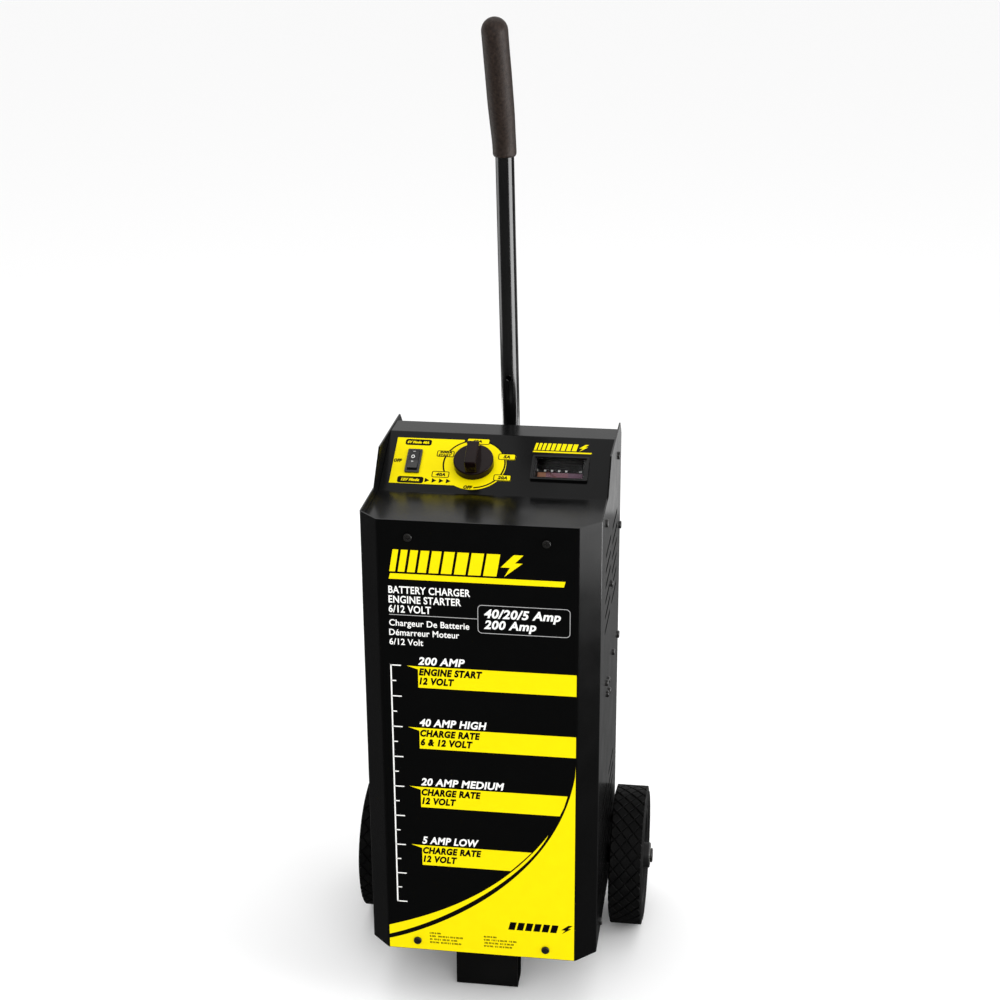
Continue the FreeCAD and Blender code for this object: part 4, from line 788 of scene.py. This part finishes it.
def rate_lines():
    """The number in each plate, and OFF below the knob and beside the rocker."""
    return [("200A", -60.5, 51.8, 2.8, 13.2, LEAN, CONTROL_WEIGHT),
            ("START", -61.2, 48.1, 2.8, 13.4, LEAN, CONTROL_WEIGHT),
            ("40A", -60.4, 21.8, 4.2, 10.0, LEAN, CONTROL_WEIGHT),
            ("5A", 5.2, 48.5, 4.2, 7.0, LEAN, CONTROL_WEIGHT),
            ("20A", 2.6, 20.8, 4.2, 10.0, LEAN, CONTROL_WEIGHT),
            ("40A", -28.9, 68.1, 3.4, 10.0, LEAN, CONTROL_WEIGHT),
            ("OFF", -30.2, 6.6, 4.4, 9.0, LEAN, CONTROL_WEIGHT),
            ("OFF", -105.6, 38.0, 4.4, 8.2, LEAN, CONTROL_WEIGHT)]


def mode_outlines():
    """The two mode plates above and below the rocker, and four arrows that lead to the knob."""
    outlines = [rounded_outline(-97.2, -70.3, 61.4, 69.3, 2.4),
                rounded_outline(-98.4, -71.8, 11.3, 19.7, 2.4)]
    pitch = 7.23
    for index in range(4):
        start = -70.4 + index * pitch
        outlines.append([(start, 12.6), (start + 4.6, 15.6), (start, 18.6)])
    return outlines


def meter_title_outlines():
    """An underline, leaning charge bars and a bolt over the meter."""
    low = 62.0
    high = 71.2
    slant = 0.18
    bars, end = charge_bars(34.8, low, high, 2.5, 0.27, 1.35, slant)
    return [box_outline(34.0, 93.2, 58.9, 60.7, 0.4)] + bars + [small_bolt(end + 0.6, low, high - low, slant)]


def control_print():
    """Print in layers on the label, whose top is CONTROL_LABEL_TOP off the face, and beside it."""
    top = CONTROL_LABEL_TOP
    print_piece("dial_ring", [dial_ring()], CONTROL, BLACK_INK, top - 0.02, top + 0.06)
    half_u, half_v = RATE_PLATE_HALF
    frames = [plate_frame(u - half_u, u + half_u, v - half_v, v + half_v) for u, v in RATE_PLATES]
    frames.append(plate_frame(-34.6, -10.8, 65.7, 73.7))
    plates = [outer for outer, inner in frames]
    print_piece("rate_plates", plates, CONTROL, YELLOW_INK, -0.02, top + 0.1)
    print_piece("rate_frames", [], CONTROL, BLACK_INK, top + 0.08, top + 0.16, frames)
    lettering("rate_numbers", rate_lines(), CONTROL, BLACK_INK, top + 0.02, top + 0.16)
    print_piece("mode_plates", mode_outlines(), CONTROL, BLACK_INK, top - 0.02, top + 0.08)
    modes = [("6V Mode 40A", -95.2, 63.6, 3.5, 22.4, LEAN, CONTROL_WEIGHT),
             ("12V Mode", -94.6, 13.8, 3.7, 18.6, LEAN, CONTROL_WEIGHT)]
    lettering("mode_numbers", modes, CONTROL, YELLOW_INK, top + 0.06, top + 0.14)
    print_piece("meter_title", meter_title_outlines(), CONTROL, YELLOW_INK, -0.02, 0.08)


def meter_print():
    """Three bands of the meter's scale, in print colours darkened as painted shade, and the ticks over them;
    across is from the dial's middle.
    """
    low = -0.02
    high = 0.06
    dial = Surface(CONTROL.place(METER_ACROSS, 0, METER_DIAL_LIFT), X_AXIS, FACE_UP)
    bands = (("meter_low_band", -22.8, -14.3, ORANGE_INK_PAINTED_SHADE), ("meter_mid_band", -14.3, 8.2, PINK_INK_PAINTED_SHADE),
             ("meter_high_band", 8.2, 23.2, MAUVE_INK_PAINTED_SHADE))
    for name, left, right, finish in bands:
        print_piece(name, [box_outline(left, right, 31.9, 37.9)], dial, finish, low, high)
    ticks = [box_outline(u - 0.45, u + 0.45, 39.3, 41.5) for u in (-23.2, -16.2, -9.2, -2.0, 5.2, 20.8)]
    ticks += [box_outline(u + 0.7, u + 1.5, 39.3, 41.5, 0.1) for u in (-16.2, -9.2, -2.0, 5.2, 18.2)]
    print_piece("meter_marks", ticks, dial, WHITE_INK, low, high)


ROCKER_RISE = 2.6
ROCKER_SLOPE = 0.13


def rocker_half(end):
    """The upper (end = 1) or lower (end = -1) slope of the rocker; up is measured from its middle."""
    up = (FACE_UP + CONTROL.normal * ROCKER_SLOPE * end).normalized()
    return Surface(CONTROL.place(ROCKER_ACROSS, ROCKER_UP, ROCKER_RISE), X_AXIS, up)


def rocker_marks():
    """A moulded ring and two short bars, painted white, on the rocker's two slopes."""
    body = "switch_rocker"
    middle = (-1.0, 4.3)
    ring = (circle(middle, 1.9, 36), circle(middle, 1.25, 36))
    upper_bar = box_outline(-1.6, 0.8, 10.3, 10.7)
    lower_bar = box_outline(-2.2, 0.0, -2.2, -1.5)
    print_piece("rocker_ring", [upper_bar], rocker_half(1), WHITE_INK, rings=[ring], body=body)
    print_piece("rocker_bar", [lower_bar], rocker_half(-1), WHITE_INK, body=body)


# Wheels --------------------------------------------------------------------------------------

TREAD_RADIUS = 76.2
TREAD_FLOOR = 74.9
DIAMOND_COUNT = 30
DIAMOND_HALF_WIDTH = 6.7
GROOVE_SHARE = 0.15
TREAD_EDGE_INSET = 1.55


def wheel_place(middle, side, across, radius, angle):
    """A place on a wheel: across from its middle plane (outwards), radius and angle about the axle."""
    return middle + Vector((side * across, radius * math.cos(angle), radius * math.sin(angle))) * MM


def tyre_profile(half_width):
    """Half section of the tyre, from the bead to the tread's middle, as (across, radius)."""
    sidewall = [(2.55, 54.0), (1.85, 53.6), (0.85, 54.6), (0.55, 56.4), (1.15, 57.6), (1.15, 59.0),
                (0.45, 60.0), (0.0, 62.0), (0.05, 65.0), (0.45, 68.5), (0.15, 69.4), (0.15, 70.6),
                (0.75, 71.6), (1.05, 73.0), (1.75, 74.2), (3.05, 74.8)]
    profile = [(half_width - inset, radius) for inset, radius in sidewall]
    return profile + [(half_width / 2, TREAD_FLOOR), (0.0, TREAD_FLOOR)]


def clipped(points, edge):
    """Cut an outline of (across, along) points at across = edge and at across = -edge."""
    for sign in (1, -1):
        kept = []
        for first, second in zip(points, points[1:] + points[:1]):
            inside = sign * first[0] <= edge
            if inside:
                kept.append(first)
            if inside != (sign * second[0] <= edge):
                share = (sign * edge - first[0]) / (second[0] - first[0])
                kept.append((sign * edge, first[1] + (second[1] - first[1]) * share))
        points = kept
    return points


def add_block(shape, middle, side, outline, centre):
    """One raised tread block with sloping flanks and a rounded top edge."""
    rings = []
    for share, radius in ((1.07, TREAD_FLOOR - 0.2), (1.0, TREAD_RADIUS - 0.35), (0.93, TREAD_RADIUS)):
        ring = []
        for across, along in outline:
            across = centre[0] + (across - centre[0]) * share
            angle = (centre[1] + (along - centre[1]) * share) / TREAD_RADIUS
            ring.append(shape.verts.new(wheel_place(middle, side, across, radius, angle)))
        rings.append(ring)
    for lower, upper in zip(rings, rings[1:]):
        for index in range(len(outline)):
            after = (index + 1) % len(outline)
            shape.faces.new((lower[index], lower[after], upper[after], upper[index]))
    hub = shape.verts.new(wheel_place(middle, side, centre[0], TREAD_RADIUS, centre[1] / TREAD_RADIUS))
    for index in range(len(outline)):
        shape.faces.new((rings[-1][index], rings[-1][(index + 1) % len(outline)], hub))
    shape.faces.new(rings[0][::-1])


def tyre_middle(side_name):
    """The middle of a tyre in metres, and half its width in millimetres."""
    low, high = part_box("tyre_" + side_name)
    return (low + high) / 2, (high.x - low.x) / 2 / MM


def make_carcass(side_name, side):
    """The smooth tyre under the tread blocks, with moulded rings on its sidewalls."""
    middle, half_width = tyre_middle(side_name)
    half = tyre_profile(half_width)
    section = half + [(-across, radius) for across, radius in half[-2::-1]]
    around = 120
    shape = bmesh.new()
    loops = []
    for step in range(around):
        angle = step * 2 * math.pi / around
        places = [wheel_place(middle, side, across, radius, angle) for across, radius in section]
        loops.append([shape.verts.new(place) for place in places])
    for step in range(around):
        here = loops[step]
        there = loops[(step + 1) % around]
        for index in range(len(section)):
            after = (index + 1) % len(section)
            shape.faces.new((here[index], here[after], there[after], there[index]))
    carcass = finish_piece("tyre_carcass_" + side_name, shape, FINISHES["tyre_rubber"], "wheel_" + side_name,
                           smooth=True)
    carcass.data.set_sharp_from_angle(angle=math.radians(50))
    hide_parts("tyre_" + side_name)


def make_tread(side_name, side):
    """A lattice of raised diamond blocks round the tyre, cut off square at its shoulders."""
    middle, half_width = tyre_middle(side_name)
    pitch = 2 * math.pi * TREAD_RADIUS / DIAMOND_COUNT
    reach_u = DIAMOND_HALF_WIDTH * (1 - GROOVE_SHARE)
    reach_v = pitch / 2 * (1 - GROOVE_SHARE)
    diamond = ((1.0, 0.0), (0.5, 0.5), (0.0, 1.0), (-0.5, 0.5),
               (-1.0, 0.0), (-0.5, -0.5), (0.0, -1.0), (0.5, -0.5))
    shape = bmesh.new()
    for column in range(-3, 4):
        for row in range(DIAMOND_COUNT):
            u = column * DIAMOND_HALF_WIDTH
            v = (row + 0.5 * (column % 2)) * pitch
            outline = [(u + reach_u * across, v + reach_v * along) for across, along in diamond]
            outline = clipped(outline, half_width - TREAD_EDGE_INSET)
            centre = tuple(sum(point[axis] for point in outline) / len(outline) for axis in (0, 1))
            add_block(shape, middle, side, outline, centre)
    finish_piece("tread_blocks_" + side_name, shape, FINISHES["tyre_rubber"], "wheel_" + side_name)


# Grip ----------------------------------------------------------------------------------------

GRIP_BOTTOM = 842.0
GRIP_RADIUS = 13.3
GRIP_LOW_RADIUS = 12.2
GRIP_LEAN = math.radians(22.0)
GRIP_BEND = 60.0
GRIP_STRAIGHT = 115.0
GRIP_LENGTH = GRIP_BEND * GRIP_LEAN + GRIP_STRAIGHT
GRIP_SHRINK = 0.12
ROLLED_END = ((0.0, 9.9), (0.2, 10.5), (0.8, 11.2), (1.8, 11.8), (3.4, GRIP_LOW_RADIUS))
TUBE_RADIUS = 9.525
TILT_PIVOT_HEIGHT = 470.0


def grip_line(distance):
    """Centre and direction of the grip, a distance along it from its lower end."""
    bend_length = GRIP_BEND * GRIP_LEAN
    angle = min(distance / GRIP_BEND, GRIP_LEAN)
    run = max(distance - bend_length, 0.0)
    back = -GRIP_BEND * (1 - math.cos(angle)) - run * math.sin(angle)
    rise = GRIP_BEND * math.sin(angle) + run * math.cos(angle)
    return Vector((0, back, rise)), Vector((0, -math.sin(angle), math.cos(angle)))


def grip_radius(share):
    """The sleeve swells from its lower end and is even over its upper half."""
    swell = min(share / 0.45, 1.0)
    return GRIP_LOW_RADIUS + (GRIP_RADIUS - GRIP_LOW_RADIUS) * swell * swell * (3 - 2 * swell)


def grip_stations():
    """The sleeve's radius along its length, as (distance, radius): rolled end, sleeve and dome."""
    stations = list(ROLLED_END)
    rolled = ROLLED_END[-1][0]
    steps = 220
    for step in range(1, steps + 1):
        share = step / steps
        stations.append((rolled + (GRIP_LENGTH - rolled) * share, grip_radius(share)))
    dome_steps = 22
    for step in range(1, dome_steps):
        turn = step / dome_steps * math.pi / 2
        stations.append((GRIP_LENGTH + GRIP_RADIUS * math.sin(turn), GRIP_RADIUS * math.cos(turn)))
    return stations


def unevenness(point):
    """How far the foam stands off its even shape at a point: slow waves, small ones and grain."""
    waves = noise.noise(point * 0.035) * 0.16 + noise.noise(point * 0.3) * 0.05
    return waves + noise.noise(point * 1.3) * 0.05


def make_grip():
    """Foam sleeve on the end of the tube, slightly uneven, with a rolled lower end and a domed top."""
    tube_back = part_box("handle_tube")[1].y
    tilt = Z_AXIS.rotation_difference(Vector(JOINTS["handle_slide"]["axis"])).to_matrix()
    pivot = Vector((0, tube_back - TUBE_RADIUS * MM, TILT_PIVOT_HEIGHT * MM))
    base = Vector((0, 0, (GRIP_BOTTOM - TILT_PIVOT_HEIGHT) * MM))
    around = 88
    shape = bmesh.new()
    rings = []
    for distance, radius in grip_stations():
        centre, direction = grip_line(distance)
        front = direction.cross(X_AXIS)
        ring = []
        for step in range(around):
            angle = step * 2 * math.pi / around
            out = X_AXIS * math.cos(angle) + front * math.sin(angle)
            point = centre + out * radius
            place = base + (point + out * (unevenness(point) - GRIP_SHRINK)) * MM
            ring.append(shape.verts.new(pivot + tilt @ place))
        rings.append(ring)
    for lower, upper in zip(rings, rings[1:]):
        for index in range(around):
            after = (index + 1) % around
            shape.faces.new((lower[index], lower[after], upper[after], upper[index]))
    shape.faces.new(rings[0][::-1])
    tip, direction = grip_line(GRIP_LENGTH + GRIP_RADIUS)
    crown = shape.verts.new(pivot + tilt @ (base + (tip - direction * GRIP_SHRINK) * MM))
    for index in range(around):
        shape.faces.new((rings[-1][index], rings[-1][(index + 1) % around], crown))
    grip = finish_piece("foam_grip", shape, FINISHES["grip_foam"], "handle", smooth=True)
    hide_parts("handle_grip")


make_camera()
make_stage()
dress_nodes()
front_print()
control_print()
meter_print()
rocker_marks()
for wheel_name, wheel_side in (("left", -1), ("right", 1)):
    make_carcass(wheel_name, wheel_side)
    make_tread(wheel_name, wheel_side)
make_grip()
